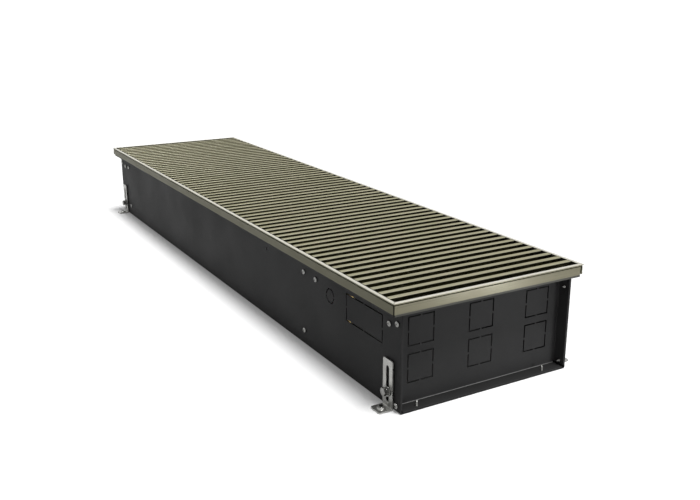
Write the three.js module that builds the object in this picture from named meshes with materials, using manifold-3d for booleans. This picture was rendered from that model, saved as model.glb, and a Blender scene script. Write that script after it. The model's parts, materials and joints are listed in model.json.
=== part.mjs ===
// Trench convector heater: a folded steel trough to be sunk in a floor, with a finned copper heat exchanger,
// an aluminium frame clipped round its edge, and a roll-up grille that lifts out of the frame.
// Sizes are in millimetres. X runs along the trough: "near" is the +X end, and "front" is the -Y side.
// Z points up from the underside of the trough, and the origin lies in the middle of that underside.
import * as THREE from "three";
import { mergeVertices } from "three/addons/utils/BufferGeometryUtils.js";
import Module from "manifold-3d";

const wasm = await Module();
wasm.setup();

// ---- Driving dimensions ----

// Frame, as the room sees it
const frameLength = 1200;
const frameWidth = 303;
const overallHeight = 150;

// Sheet steel and fits
const sheet = 1.2; // trough, end plates, brackets, braces and guide plate
const bendRadius = 1; // inside radius of a fold
const fit = 0.3; // gap between pieces that touch

// Frame profile, an upside-down channel over the trough's edge
const fasciaHeight = 14.8;
const fasciaThickness = 1.6;
const lipThickness = 1.6;
const innerLegThickness = 1.4;
const innerLegDepth = 6; // below the lip
const cornerClearance = 0.9; // from the inner leg's end to the crossing leg
const longFasciaSetback = 2.5; // the fascias stop short of the corner, which leaves an open slit
const endFasciaSetback = 4;

// Trough
const wallOverhang = 15.5; // the frame's side face stands this far outside the wall
const endOverhang = 5;

// Roll-up grille
const slatPitch = 19.28;
const slatWidth = 7.8; // of its top flange
const slatHeight = 15.2;
const slatEdge = 1.1; // thickness of the top flange at its edges
const slatFlange = 2.2; // and at the web
const slatWeb = 2.4;
const slatFootWidth = 5.6;
const slatFoot = 2;
const slatEndGap = 1.25; // to the frame's long lips
const grilleEndGap = 12; // least room from the outermost slats to the frame's end lips
const slatSink = 0.3; // below the top of the frame
const springInset = 50; // from the ends of the slats
const springRadius = 2.6;
const springDepth = 8.5; // below the tops of the slats
const stripThickness = 1.5;
const stripWidth = 10;
const stripInset = 0.8; // from the trough's inner wall

// End plates
const recessDepth = 18.8; // from the trough's end to the face of the plate
const plateKnockOut = 40; // square
const knockOutColumnPitch = 94.5;
const lowerKnockOutLevel = 49.3;
const upperKnockOutDrop = 32.5; // from the underside of the trough's ledge, as every drop here
const slotWidth = 1.9; // outline of a knock-out
const bridgeWidth = 2.6; // metal left in the middle of each side
const plateScrewInset = 9; // from the trough's end
const lowerPlateScrewLevel = 8.4;
const upperPlateScrewDrop = 14.5;

// Openings in the front wall, measured from the trough's near end
const windowInset = 87.5;
const windowLength = 90.4;
const windowHeight = 39;
const windowDrop = 32.7;
const glandInset = 176.7;
const glandRadius = 11;
const glandDrop = 31.5;
const spareHoleInset = 380;
const spareHoleRadius = 2.5;
const spareHoleDrop = 17.5;

// Heat exchanger
const nearBracketInset = 264; // from the trough's near end to the bracket's plate
const farBracketInset = 70;
const bracketFlange = 20;
const bracketLow = 13;
const bracketTopDrop = 8.5;
const lowerBracketScrewLevel = 22.5;
const upperBracketScrewDrop = 18.8;
const finWidth = 140;
const finHeight = 70;
const finThickness = 0.8;
const finPitch = 44;
const finEndGap = 7; // from the last fin to a bracket
const collarThickness = 1;
const exchangerOffset = -50; // the fins stand nearer to the front wall
const exchangerDrop = 66.5; // to the middle of the fins
const tubeRadius = 7.5;
const tubeSides = 8;
const tubeWall = 1;
const tubeColumnSpacing = 64;
const tubeRowSpacing = 36;
const tubeOverrun = 20; // past the near bracket
const returnBendStraight = 6;

// Brass connectors with an inside thread, and the air vent on the upper one
const connectorFlats = 27;
const connectorHexLength = 12;
const connectorSides = 12;
const connectorCollarRadius = 10;
const connectorCollarLength = 10;
const connectorMouthRadius = 12.6;
const connectorMouthLength = 8;
const threadRadius = 9.3;
const threadDepth = 15;
const ventRadius = 5;
const ventHeight = 10;
const ventBore = 2.8;
const bleedHeadRadius = 3.4;
const bleedHeadHeight = 3;
const bleedStemLength = 6;
const bleedSlotWidth = 1;
const bleedSlotDepth = 1.2;

// Cold-air guide plate
const guideGap = 8; // from the fins
const guideLow = 20;
const guideTopDrop = 3.5;
const guideTab = 12;

// Cross braces, which hold the walls apart while the floor is laid round them
const braceDrop = 13.5;
const braceWidth = 12;
const braceDepth = 7; // of its two long flanges
const braceTabDepth = 14;
const braceScrewDrop = 19.8;
const outerBraceInset = 26.7; // from the trough's near end
const innerBraceInset = 217.7;
const farBraceInset = 35; // from its far end

// Feet
const footInset = 24.6; // from the trough's end to the middle of the foot
const footWidth = 21.6;
const footHeight = 66;
const footSheet = 2;
const padReach = 22; // outside the trough's wall
const footSlotWidth = 6.6;
const footSlotLow = 8.5;
const footSlotHigh = 57.5;
const clampHeight = 23.5;
const boltRadius = 3;
const boltLength = 22;
const boltHeadFlats = 10;
const boltHeadHeight = 4;
const boltHeadStandOff = 3.6; // washers between the foot and the head
const washerSides = 10;
const washerRadius = 7.5;
const washerThickness = 1.6;
const nutBodyRadius = 4.3;
const nutBodyLength = 11;
const nutFlangeRadius = 6.5;
const nutFlangeThickness = 0.8;
const padScrewRadius = 4;
const padScrewLength = 4.5;
const padCollarRadius = 5.8;
const padCollarHeight = 2.2;
const padCollarSides = 12;
const padScrewInset = 10; // from the pad's outer edge
const socketRadius = 2.3;
const socketDepth = 2.5;

// Pan-head screws
const screwSides = 8;
const screwRadius = 2;
const screwLength = 7;
const screwHeadRadius = 4;
const screwHeadHeight = 2.4;
const screwCrownRadius = 2.8;

// ---- Derived places ----

const lipWidth = fasciaThickness + fit + sheet + fit + innerLegThickness;
const troughHalfLength = frameLength / 2 - endOverhang;
const wallOuter = frameWidth / 2 - wallOverhang;
const wallInner = wallOuter - sheet;
const upstandOuter = frameWidth / 2 - fasciaThickness - fit;
const upstandTop = overallHeight - lipThickness - fit;
const ledgeTop = overallHeight - slatSink - slatHeight - fit - stripThickness;
const ledgeUnder = ledgeTop - sheet;
const exchangerLevel = ledgeUnder - exchangerDrop;
const plateScrewHeights = [lowerPlateScrewLevel, ledgeUnder - upperPlateScrewDrop];
const bracketScrewHeights = [lowerBracketScrewLevel, ledgeUnder - upperBracketScrewDrop];
const braceLevel = ledgeUnder - braceDrop;
const braceScrewLevel = ledgeUnder - braceScrewDrop;
const plateOuterFace = troughHalfLength - recessDepth;
const plateInnerFace = plateOuterFace - sheet;
const flangeOuter = wallInner - fit; // outer face of the folded flanges inside the trough
const nearBracketX = troughHalfLength - nearBracketInset;
const farBracketX = -troughHalfLength + farBracketInset;
const footInnerFace = wallOuter + fit + nutFlangeThickness + fit;
const footOuterFace = footInnerFace + footSheet;
const tubeEndX = nearBracketX + tubeOverrun;
const tubeYs = [-0.5, 0.5].map((side) => exchangerOffset + side * tubeColumnSpacing);
const tubeZs = [-0.5, 0.5].map((side) => exchangerLevel + side * tubeRowSpacing);

// ---- Materials ----

function material(color, roughness, metalness) {
  return new THREE.MeshStandardMaterial({ color, roughness, metalness });
}

const coat = material(0x353535, 0.6, 0.1);
const anodised = material(0xa39d87, 0.4, 0.9);
const slatAluminium = material(0xbbb9ac, 0.4, 0.9);
const zinc = material(0xc4c3bd, 0.35, 0.9);
const copper = material(0xb87346, 0.35, 0.9);
const finAluminium = material(0xb4b7b8, 0.4, 0.9);
const brass = material(0xc2a35c, 0.35, 0.9);
const rubber = material(0x1b1b1b, 0.9, 0);

// ---- Solids ----

// A closed three.js geometry as a solid that can be joined and cut.
function solid(geometry) {
  const bare = geometry.clone();
  bare.deleteAttribute("normal");
  bare.deleteAttribute("uv");
  const merged = mergeVertices(bare, 1e-4);
  const triVerts = new Uint32Array(merged.index.array);
  return new wasm.Manifold(
    new wasm.Mesh({ numProp: 3, vertProperties: merged.attributes.position.array, triVerts }),
  );
}

// A solid as a three.js geometry with flat faces.
function geometryOf(body) {
  const mesh = body.getMesh();
  const indexed = new THREE.BufferGeometry();
  indexed.setAttribute("position", new THREE.BufferAttribute(mesh.vertProperties, mesh.numProp));
  indexed.setIndex(new THREE.BufferAttribute(mesh.triVerts, 1));
  const flat = indexed.toNonIndexed();
  flat.computeVertexNormals();
  return flat;
}

function join(bodies) {
  return bodies.reduce((whole, body) => whole.add(body));
}

function cut(body, cutters) {
  return cutters.reduce((rest, cutter) => rest.subtract(cutter), body);
}

// A block between two opposite corners.
function block(low, high) {
  const sides = high.map((value, axis) => value - low[axis]);
  const middle = high.map((value, axis) => (value + low[axis]) / 2);
  return solid(new THREE.BoxGeometry(...sides).translate(...middle));
}

// Turns the extrusion direction Z of a flat outline to an axis. The outline lies in YZ, XZ or XY.
const outlineFrames = {
  x: new THREE.Matrix4().set(0, 0, 1, 0, 1, 0, 0, 0, 0, 1, 0, 0, 0, 0, 0, 1),
  y: new THREE.Matrix4().set(1, 0, 0, 0, 0, 0, -1, 0, 0, 1, 0, 0, 0, 0, 0, 1),
  z: new THREE.Matrix4(),
};

// A prism of a flat outline of [u, v] points, from one place on the axis to another.
function prism(outline, axis, from, to) {
  const shape = new THREE.Shape(outline.map(([u, v]) => new THREE.Vector2(u, v)));
  const geometry = new THREE.ExtrudeGeometry(shape, { depth: to - from, bevelEnabled: false });
  geometry.translate(0, 0, axis === "y" ? -to : from);
  return solid(geometry.applyMatrix4(outlineFrames[axis]));
}

function regularOutline(radius, sides, u = 0, v = 0, turn = 0) {
  return Array.from({ length: sides }, (_, i) => {
    const angle = turn + (2 * Math.PI * i) / sides;
    return [u + radius * Math.cos(angle), v + radius * Math.sin(angle)];
  });
}

function hexOutline(flats, u = 0, v = 0) {
  return regularOutline(flats / 2 / Math.cos(Math.PI / 6), 6, u, v);
}

// The corner radius of a many-sided hole that clears a round piece.
function clearHole(radius, sides) {
  return (radius + fit) / Math.cos(Math.PI / sides);
}

// A many-sided rod or hole cutter along an axis.
function bore(radius, axis, u, v, from, to, sides = tubeSides) {
  return prism(regularOutline(radius, sides, u, v, Math.PI / sides), axis, from, to);
}

// The outline of a folded strip of sheet along its middle line, with every corner rounded.
function foldedOutline(middleLine, thickness = sheet, steps = 3) {
  const points = middleLine.map(([u, v]) => new THREE.Vector2(u, v));
  const half = thickness / 2;
  const left = [];
  const right = [];
  const station = (point, normal) => {
    left.push(point.clone().addScaledVector(normal, half));
    right.push(point.clone().addScaledVector(normal, -half));
  };
  const direction = (i) => points[i + 1].clone().sub(points[i]).normalize();
  const leftOf = (vector) => new THREE.Vector2(-vector.y, vector.x);
  station(points[0], leftOf(direction(0)));
  for (let i = 1; i < points.length - 1; i += 1) {
    const before = direction(i - 1);
    const after = direction(i);
    const turn = Math.atan2(before.cross(after), before.dot(after));
    const radius = bendRadius + half;
    const start = points[i].clone().addScaledVector(before, -radius * Math.tan(Math.abs(turn) / 2));
    const normal = leftOf(before);
    const centre = start.clone().addScaledVector(normal, radius * Math.sign(turn));
    for (let k = 0; k <= steps; k += 1) {
      const turned = normal.clone().rotateAround(new THREE.Vector2(), (turn * k) / steps);
      station(centre.clone().addScaledVector(turned, -radius * Math.sign(turn)), turned);
    }
  }
  station(points.at(-1), leftOf(direction(points.length - 2)));
  return [...left, ...right.reverse()].map(({ x, y }) => [x, y]);
}

// A round solid about Z from its [radius, height] profile, which closes on the axis or on itself.
function turned(profile, sides) {
  const points = profile.map(([radius, height]) => new THREE.Vector2(radius, height));
  return solid(new THREE.LatheGeometry(points, sides).rotateX(Math.PI / 2));
}

function rod(radius, from, to, sides) {
  return turned([[0, from], [radius, from], [radius, to], [0, to]], sides);
}

function ring(outer, inner, from, to, sides = washerSides) {
  return turned([[inner, from], [outer, from], [outer, to], [inner, to], [inner, from]], sides);
}

// ---- Cut patterns ----

// The four L-shaped slots round a rectangular knock-out, with a bridge in the middle of each side.
function rectangularSlots(length, height, u, v, axis, from, to) {
  const slots = [];
  for (const right of [-1, 1]) {
    for (const up of [-1, 1]) {
      const corner = [
        [bridgeWidth / 2, height / 2],
        [length / 2, height / 2],
        [length / 2, bridgeWidth / 2],
        [length / 2 - slotWidth, bridgeWidth / 2],
        [length / 2 - slotWidth, height / 2 - slotWidth],
        [bridgeWidth / 2, height / 2 - slotWidth],
      ];
      const outline = corner.map(([a, b]) => [u + right * a, v + up * b]);
      slots.push(prism(outline, axis, from, to));
    }
  }
  return slots;
}

// Four curved slots round a round knock-out.
function roundSlots(radius, u, v, axis, from, to) {
  const bridgeAngle = bridgeWidth / radius;
  const sweep = Math.PI / 2 - bridgeAngle;
  return [0, 1, 2, 3].map((quarter) => {
    const arc = (r, k) => {
      const angle = (quarter * Math.PI) / 2 + bridgeAngle / 2 + (sweep * k) / 3;
      return [u + r * Math.cos(angle), v + r * Math.sin(angle)];
    };
    const outer = [0, 1, 2, 3].map((k) => arc(radius, k));
    const inner = [3, 2, 1, 0].map((k) => arc(radius - slotWidth, k));
    return prism([...outer, ...inner], axis, from, to);
  });
}

// Holes for the screws of a pair of folded flanges, through both side walls or both flanges.
function crossHoles(x, heights, radius = screwRadius, sides = 6) {
  const reach = wallOuter + 1;
  const hole = clearHole(radius, sides);
  return heights.flatMap((z) => [
    bore(hole, "y", x, z, -reach, -reach / 2, sides),
    bore(hole, "y", x, z, reach / 2, reach, sides),
  ]);
}

// ---- Trough ----

const plateScrewXs = [troughHalfLength - plateScrewInset, -troughHalfLength + plateScrewInset];
const bracketScrewXs = [nearBracketX + bracketFlange / 2, farBracketX - bracketFlange / 2];
const braceXs = [
  troughHalfLength - outerBraceInset,
  troughHalfLength - innerBraceInset,
  -troughHalfLength + farBraceInset,
];
const footXs = [troughHalfLength - footInset, -troughHalfLength + footInset];

function troughSolid() {
  const half = sheet / 2;
  const side = [
    [upstandOuter - half, upstandTop],
    [upstandOuter - half, ledgeTop - half],
    [wallOuter - half, ledgeTop - half],
    [wallOuter - half, half],
  ];
  const mirrored = side.map(([y, z]) => [-y, z]).reverse();
  const folded = prism(foldedOutline([...side, ...mirrored]), "x", -troughHalfLength, troughHalfLength);
  const front = [-wallOuter - 1, -wallInner + 1];
  const windowX = troughHalfLength - windowInset;
  const windowLevel = ledgeUnder - windowDrop;
  const glandX = troughHalfLength - glandInset;
  const glandLevel = ledgeUnder - glandDrop;
  const spareHoleX = troughHalfLength - spareHoleInset;
  const spareHoleLevel = ledgeUnder - spareHoleDrop;
  return cut(folded, [
    ...plateScrewXs.flatMap((x) => crossHoles(x, plateScrewHeights)),
    ...bracketScrewXs.flatMap((x) => crossHoles(x, bracketScrewHeights)),
    ...braceXs.flatMap((x) => crossHoles(x, [braceScrewLevel])),
    ...footXs.flatMap((x) => crossHoles(x, [clampHeight], nutBodyRadius, washerSides)),
    ...rectangularSlots(windowLength, windowHeight, windowX, windowLevel, "y", ...front),
    ...roundSlots(glandRadius, glandX, glandLevel, "y", ...front),
    bore(spareHoleRadius, "y", spareHoleX, spareHoleLevel, ...front, 6),
  ]);
}

// ---- End plates: drawn at the near end, and turned round for the far one ----

function endPlateSolid() {
  const half = sheet / 2;
  const floor = sheet + fit + half;
  const faceX = plateInnerFace + half;
  const upstandX = frameLength / 2 - fasciaThickness - fit - half;
  const flangeEnd = troughHalfLength - fit;
  const sideMiddle = flangeOuter - half;
  const cornerRelief = bendRadius + sheet + fit;
  const faceHalfWidth = sideMiddle - cornerRelief;
  const upright = foldedOutline([
    [flangeEnd, floor],
    [faceX, floor],
    [faceX, ledgeTop - half],
    [upstandX, ledgeTop - half],
    [upstandX, upstandTop],
  ]);
  const flat = foldedOutline([
    [flangeEnd, -sideMiddle],
    [faceX, -sideMiddle],
    [faceX, sideMiddle],
    [flangeEnd, sideMiddle],
  ]);
  const upstandHalfWidth = upstandOuter - sheet - fit; // between the trough's own upturned edges
  const plate = join([
    prism(upright, "y", -faceHalfWidth, faceHalfWidth),
    prism(flat, "z", floor + cornerRelief, ledgeUnder - cornerRelief),
    block(
      [upstandX - half, -upstandHalfWidth, ledgeUnder],
      [upstandX + half, upstandHalfWidth, upstandTop],
    ),
  ]);
  const through = [plateInnerFace - 1, plateOuterFace + 1];
  const rows = [lowerKnockOutLevel, ledgeUnder - upperKnockOutDrop];
  const knockOuts = [-1, 0, 1].flatMap((column) =>
    rows.flatMap((z) =>
      rectangularSlots(plateKnockOut, plateKnockOut, column * knockOutColumnPitch, z, "x", ...through),
    ),
  );
  return cut(plate, [...knockOuts, ...crossHoles(plateScrewXs[0], plateScrewHeights)]);
}

// ---- Frame: one length along X with its outer face at +Y, mitred at both ends ----

function frameLengthSolid(length, outerFace, setback) {
  const half = length / 2;
  const lipUnder = overallHeight - lipThickness;
  const outline = [
    [outerFace - lipWidth, overallHeight],
    [outerFace - lipWidth, lipUnder - innerLegDepth],
    [outerFace - lipWidth + innerLegThickness, lipUnder - innerLegDepth],
    [outerFace - lipWidth + innerLegThickness, lipUnder],
    [outerFace - fasciaThickness, lipUnder],
    [outerFace - fasciaThickness, overallHeight - fasciaHeight],
    [outerFace, overallHeight - fasciaHeight],
    [outerFace, overallHeight],
  ];
  const bar = prism(outline, "x", -half, half);
  const cutters = [-1, 1].flatMap((end) => {
    const gap = fit / 2;
    const mitre = [
      [end * (half - gap), outerFace + gap],
      [end * (half - gap - 2 * lipWidth), outerFace + gap - 2 * lipWidth],
      [end * (half + 1), outerFace + gap - 2 * lipWidth],
      [end * (half + 1), outerFace + gap],
    ];
    const legEnds = [end * (half - setback), end * (half + 1)].sort((a, b) => a - b);
    const innerEnds = [end * (half - lipWidth - cornerClearance), end * (half + 1)].sort((a, b) => a - b);
    const below = overallHeight - fasciaHeight - 1;
    return [
      prism(mitre, "z", lipUnder - 1, overallHeight + 1),
      block([legEnds[0], outerFace - lipWidth - 1, below], [legEnds[1], outerFace + 1, lipUnder]),
      block(
        [innerEnds[0], outerFace - lipWidth - 1, below],
        [innerEnds[1], outerFace - lipWidth + innerLegThickness + fit, lipUnder],
      ),
    ];
  });
  return cut(bar, cutters);
}

// ---- Grille ----

const slatHalfLength = frameWidth / 2 - lipWidth - slatEndGap;
const slatTop = overallHeight - slatSink;
const grilleRoom = frameLength - 2 * lipWidth - 2 * grilleEndGap;
const slatCount = Math.floor((grilleRoom - slatWidth) / slatPitch) + 1;

// Each slat is a profile with a broad top flange, a web and a narrower foot.
function grilleSolid() {
  const bottom = slatTop - slatHeight;
  const right = [
    [slatFootWidth / 2, bottom],
    [slatFootWidth / 2, bottom + slatFoot],
    [slatWeb / 2, bottom + slatFoot],
    [slatWeb / 2, slatTop - slatFlange],
    [slatWidth / 2, slatTop - slatEdge],
    [slatWidth / 2, slatTop],
  ];
  const outline = [...right, ...right.map(([x, z]) => [-x, z]).reverse()];
  const firstX = (-(slatCount - 1) * slatPitch) / 2;
  const slat = prism(outline, "y", -slatHalfLength, slatHalfLength);
  const slats = Array.from({ length: slatCount }, (_, i) => slat.translate([firstX + i * slatPitch, 0, 0]));
  const springY = slatHalfLength - springInset;
  const springZ = slatTop - springDepth;
  const springs = [-springY, springY].map((y) =>
    prism(regularOutline(springRadius, 4, y, springZ), "x", firstX, -firstX),
  );
  return join([...springs, ...slats]);
}

function restStripSolid() {
  const inner = wallInner + bendRadius + stripInset;
  const halfLength = troughHalfLength - fit;
  return block([-halfLength, inner, ledgeTop], [halfLength, inner + stripWidth, ledgeTop + stripThickness]);
}

// ---- Heat exchanger ----

function tubeBores(radius, from, to) {
  return tubeYs.flatMap((y) => tubeZs.map((z) => bore(radius, "x", y, z, from, to)));
}

function finPackSolid() {
  const from = farBracketX + sheet + finEndGap;
  const to = nearBracketX - finEndGap;
  const count = Math.floor((to - from) / finPitch) + 1;
  const first = (from + to - (count - 1) * finPitch) / 2;
  const last = first + (count - 1) * finPitch;
  const fins = Array.from({ length: count }, (_, i) => {
    const x = first + i * finPitch;
    return block(
      [x - finThickness / 2, exchangerOffset - finWidth / 2, exchangerLevel - finHeight / 2],
      [x + finThickness / 2, exchangerOffset + finWidth / 2, exchangerLevel + finHeight / 2],
    );
  });
  const boreRadius = clearHole(tubeRadius, tubeSides);
  const collars = tubeBores(boreRadius + collarThickness, first, last);
  return cut(join([...collars, ...fins]), tubeBores(boreRadius, first - 1, last + 1));
}

// A curve through a list of points, sampled at those points.
class StationCurve extends THREE.Curve {
  constructor(stations) {
    super();
    this.stations = stations;
  }

  getPoint(t, target = new THREE.Vector3()) {
    const place = t * (this.stations.length - 1);
    const i = Math.min(Math.floor(place), this.stations.length - 2);
    return target.lerpVectors(this.stations[i], this.stations[i + 1], place - i);
  }

  getUtoTmapping(u) {
    return u;
  }
}

// A tube bent to a U in the plane of X and one other axis. Its legs run from legEndX to bendX.
function bentTube(legEndX, bendX, place, across, bendRadiusAtMiddle) {
  const outward = Math.sign(bendX - legEndX);
  const steps = 8;
  const arc = Array.from({ length: steps + 1 }, (_, i) => {
    const angle = (Math.PI * i) / steps;
    const x = bendX + outward * bendRadiusAtMiddle * Math.sin(angle);
    return new THREE.Vector3(x, ...place).addScaledVector(across, -bendRadiusAtMiddle * Math.cos(angle));
  });
  const start = arc[0].clone().setX(legEndX);
  const end = arc.at(-1).clone().setX(legEndX);
  const curve = new StationCurve([start, ...arc, end]);
  const section = new THREE.Shape().absarc(0, 0, tubeRadius, 0, 2 * Math.PI);
  section.holes.push(new THREE.Path().absarc(0, 0, tubeRadius - tubeWall, 0, 2 * Math.PI));
  const options = { steps: steps + 2, extrudePath: curve, curveSegments: tubeSides / 2 };
  return solid(new THREE.ExtrudeGeometry(section, options));
}

function hairpinSolid(z) {
  const bendStart = farBracketX - fit;
  const across = new THREE.Vector3(0, 1, 0);
  return bentTube(tubeEndX, bendStart, [exchangerOffset, z], across, tubeColumnSpacing / 2);
}

function returnBendSolid() {
  const start = tubeEndX + fit;
  const across = new THREE.Vector3(0, 0, 1);
  const place = [tubeYs[1], exchangerLevel];
  return bentTube(start, start + returnBendStraight, place, across, tubeRowSpacing / 2);
}

// Bracket of the exchanger: a plate across the trough. Its flange at each wall points away from the fins.
function bracketSolid(faceX, outward, screwX) {
  const half = sheet / 2;
  const faceMiddle = faceX + outward * half;
  const flangeEnd = faceX + outward * bracketFlange;
  const sideMiddle = flangeOuter - half;
  const outline = foldedOutline([
    [flangeEnd, -sideMiddle],
    [faceMiddle, -sideMiddle],
    [faceMiddle, sideMiddle],
    [flangeEnd, sideMiddle],
  ]);
  return cut(prism(outline, "z", bracketLow, ledgeUnder - bracketTopDrop), [
    ...tubeBores(clearHole(tubeRadius, tubeSides), faceX - 2 * sheet, faceX + 2 * sheet),
    ...crossHoles(screwX, bracketScrewHeights),
  ]);
}

// ---- Connectors and air vent ----

// A connector about Z, with its tube end at the bottom and its thread open at the top.
function connectorSolid() {
  const hexEnd = connectorCollarLength + connectorHexLength;
  const end = hexEnd + connectorMouthLength;
  const body = join([
    rod(connectorCollarRadius, 0, hexEnd, connectorSides),
    prism(hexOutline(connectorFlats), "z", connectorCollarLength, hexEnd),
    rod(connectorMouthRadius, hexEnd - 1, end, connectorSides),
  ]);
  return cut(body, [
    rod(threadRadius, end - threadDepth, end + 1, connectorSides),
    rod(tubeRadius - tubeWall, -1, end - 1, tubeSides),
  ]);
}

function ventSolid() {
  const outer = prism(hexOutline(2 * ventRadius), "z", 0, ventHeight);
  return cut(outer, [bore(ventBore, "z", 0, 0, ventHeight - bleedStemLength - fit, ventHeight + 1)]);
}

// Bleed screw about Z: a slotted head over a stem.
function bleedScrewSolid() {
  const stem = bore(ventBore - fit, "z", 0, 0, -bleedStemLength, 1);
  const head = rod(bleedHeadRadius, fit, bleedHeadHeight, washerSides);
  const slot = block(
    [-bleedHeadRadius - 1, -bleedSlotWidth / 2, bleedHeadHeight - bleedSlotDepth],
    [bleedHeadRadius + 1, bleedSlotWidth / 2, bleedHeadHeight + 1],
  );
  return cut(join([stem, head]), [slot]);
}

// ---- Cold-air guide and cross braces ----

function airGuideSolid() {
  const half = sheet / 2;
  const y = exchangerOffset + finWidth / 2 + guideGap + half;
  const from = farBracketX + fit + half;
  const to = nearBracketX - fit - half;
  const outline = foldedOutline([[from, y - guideTab], [from, y], [to, y], [to, y - guideTab]]);
  return prism(outline, "z", guideLow, ledgeUnder - guideTopDrop);
}

// A brace at a place along X: an upside-down channel with a screwed tab bent down at each wall.
function braceSolid(x) {
  const half = sheet / 2;
  const top = braceLevel + half;
  const tabMiddle = flangeOuter - half;
  const flangeMiddle = braceWidth / 2 - half;
  const channelHalfLength = tabMiddle - 2 * (bendRadius + sheet);
  const tabs = [-1, 1].map((side) => {
    const outline = foldedOutline([
      [side * (channelHalfLength - sheet), top],
      [side * tabMiddle, top],
      [side * tabMiddle, braceLevel - braceTabDepth],
    ]);
    return prism(outline, "x", x - braceWidth / 2, x + braceWidth / 2);
  });
  const channel = foldedOutline([
    [x - flangeMiddle, braceLevel - braceDepth],
    [x - flangeMiddle, top],
    [x + flangeMiddle, top],
    [x + flangeMiddle, braceLevel - braceDepth],
  ]);
  const brace = join([prism(channel, "y", -channelHalfLength, channelHalfLength), ...tabs]);
  return cut(brace, crossHoles(x, [braceScrewLevel]));
}

// ---- Feet: drawn at the rear wall about X = 0, and turned round for the front ones ----

const padScrewY = wallOuter + padReach - padScrewInset;

function footSolid() {
  const half = footSheet / 2;
  const middle = footInnerFace + half;
  const halfWidth = footWidth / 2;
  const reach = wallOuter + padReach;
  const outline = foldedOutline([[middle, footHeight], [middle, half], [reach, half]], footSheet);
  const collarTop = footSheet + padCollarHeight;
  const body = join([
    prism(outline, "x", -halfWidth, halfWidth),
    prism(regularOutline(padCollarRadius, padCollarSides, 0, padScrewY), "z", half, collarTop),
  ]);
  const slotRadius = footSlotWidth / 2;
  const slotEnds = [
    [footSlotHigh - slotRadius, 0],
    [footSlotLow + slotRadius, Math.PI],
  ];
  const slot = slotEnds.flatMap(([z, turn]) =>
    [0, 1, 2, 3, 4].map((k) => {
      const angle = turn + (Math.PI * k) / 4;
      return [slotRadius * Math.cos(angle), z + slotRadius * Math.sin(angle)];
    }),
  );
  return cut(body, [
    prism(slot, "y", footInnerFace - 1, footOuterFace + 1),
    bore(clearHole(padScrewRadius, washerSides), "z", 0, padScrewY, -1, collarTop + 1, washerSides),
  ]);
}

function clampBoltSolid() {
  const headUnder = footOuterFace + boltHeadStandOff;
  return join([
    bore(boltRadius, "y", 0, clampHeight, headUnder - boltLength, headUnder + 1),
    prism(hexOutline(boltHeadFlats, 0, clampHeight), "y", headUnder, headUnder + boltHeadHeight),
  ]);
}

// A ring about Z laid over to point along Y, at the height of the clamp.
function alongY(body) {
  return body.rotate([-90, 0, 0]).translate([0, 0, clampHeight]);
}

const clampBore = clearHole(boltRadius, washerSides);

function washerSolid() {
  const from = footOuterFace + fit;
  return alongY(ring(washerRadius, clampBore, from, from + washerThickness));
}

function rivetNutSolid() {
  const from = wallOuter + fit;
  const flange = ring(nutFlangeRadius, clampBore, from, from + nutFlangeThickness);
  const barrel = ring(nutBodyRadius, clampBore, from - nutBodyLength, from + nutFlangeThickness / 2);
  return alongY(join([flange, barrel]));
}

function levellingScrewSolid() {
  const bottom = fit;
  const top = bottom + padScrewLength;
  const body = bore(padScrewRadius, "z", 0, padScrewY, bottom, top, washerSides);
  return cut(body, [prism(regularOutline(socketRadius, 6, 0, padScrewY), "z", top - socketDepth, top + 1)]);
}

// A pan-head screw along +Y through the rear wall, about X = 0 and Z = 0.
function screwSolid() {
  const headUnder = wallOuter + fit;
  const crown = headUnder + screwHeadHeight;
  const profile = [
    [0, headUnder - screwLength],
    [screwRadius, headUnder - screwLength],
    [screwRadius, headUnder],
    [screwHeadRadius, headUnder],
    [screwCrownRadius, crown],
    [0, crown],
  ];
  return turned(profile, screwSides).rotate([-90, 0, 0]);
}

// ---- Assembly ----

const heater = new THREE.Group();

function addPiece(name, body, finish, parent = heater) {
  const mesh = new THREE.Mesh(geometryOf(body), finish);
  mesh.name = name;
  parent.add(mesh);
  return mesh;
}

// A group at a place along X whose pieces face the rear wall, or the front wall when it is turned round.
function wallGroup(x, side) {
  const group = new THREE.Group();
  group.position.x = x;
  group.rotation.z = side === "front" ? Math.PI : 0;
  heater.add(group);
  return group;
}

const ends = ["near", "far"];
const walls = ["front", "rear"];

function addCasing() {
  addPiece("trough", troughSolid(), coat);
  const plate = endPlateSolid();
  addPiece("end_plate_near", plate, coat);
  addPiece("end_plate_far", plate, coat).rotation.z = Math.PI;
  const long = frameLengthSolid(frameLength, frameWidth / 2, longFasciaSetback);
  const short = frameLengthSolid(frameWidth, frameLength / 2, endFasciaSetback);
  addPiece("frame_long_rear", long, anodised);
  addPiece("frame_long_front", long, anodised).rotation.z = Math.PI;
  addPiece("frame_end_near", short, anodised).rotation.z = -Math.PI / 2;
  addPiece("frame_end_far", short, anodised).rotation.z = Math.PI / 2;
}

function addGrille() {
  addPiece("roll_up_grille", grilleSolid(), slatAluminium);
  for (const wall of walls) {
    addPiece("grille_rest_strip_" + wall, restStripSolid(), rubber, wallGroup(0, wall));
  }
}

function addExchanger() {
  addPiece("fin_pack", finPackSolid(), finAluminium);
  addPiece("hairpin_tube_lower", hairpinSolid(tubeZs[0]), copper);
  addPiece("hairpin_tube_upper", hairpinSolid(tubeZs[1]), copper);
  addPiece("return_bend", returnBendSolid(), copper);
  addPiece("exchanger_bracket_near", bracketSolid(nearBracketX, 1, bracketScrewXs[0]), coat);
  addPiece("exchanger_bracket_far", bracketSolid(farBracketX, -1, bracketScrewXs[1]), coat);
  addPiece("air_guide_plate", airGuideSolid(), coat);
}

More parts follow.
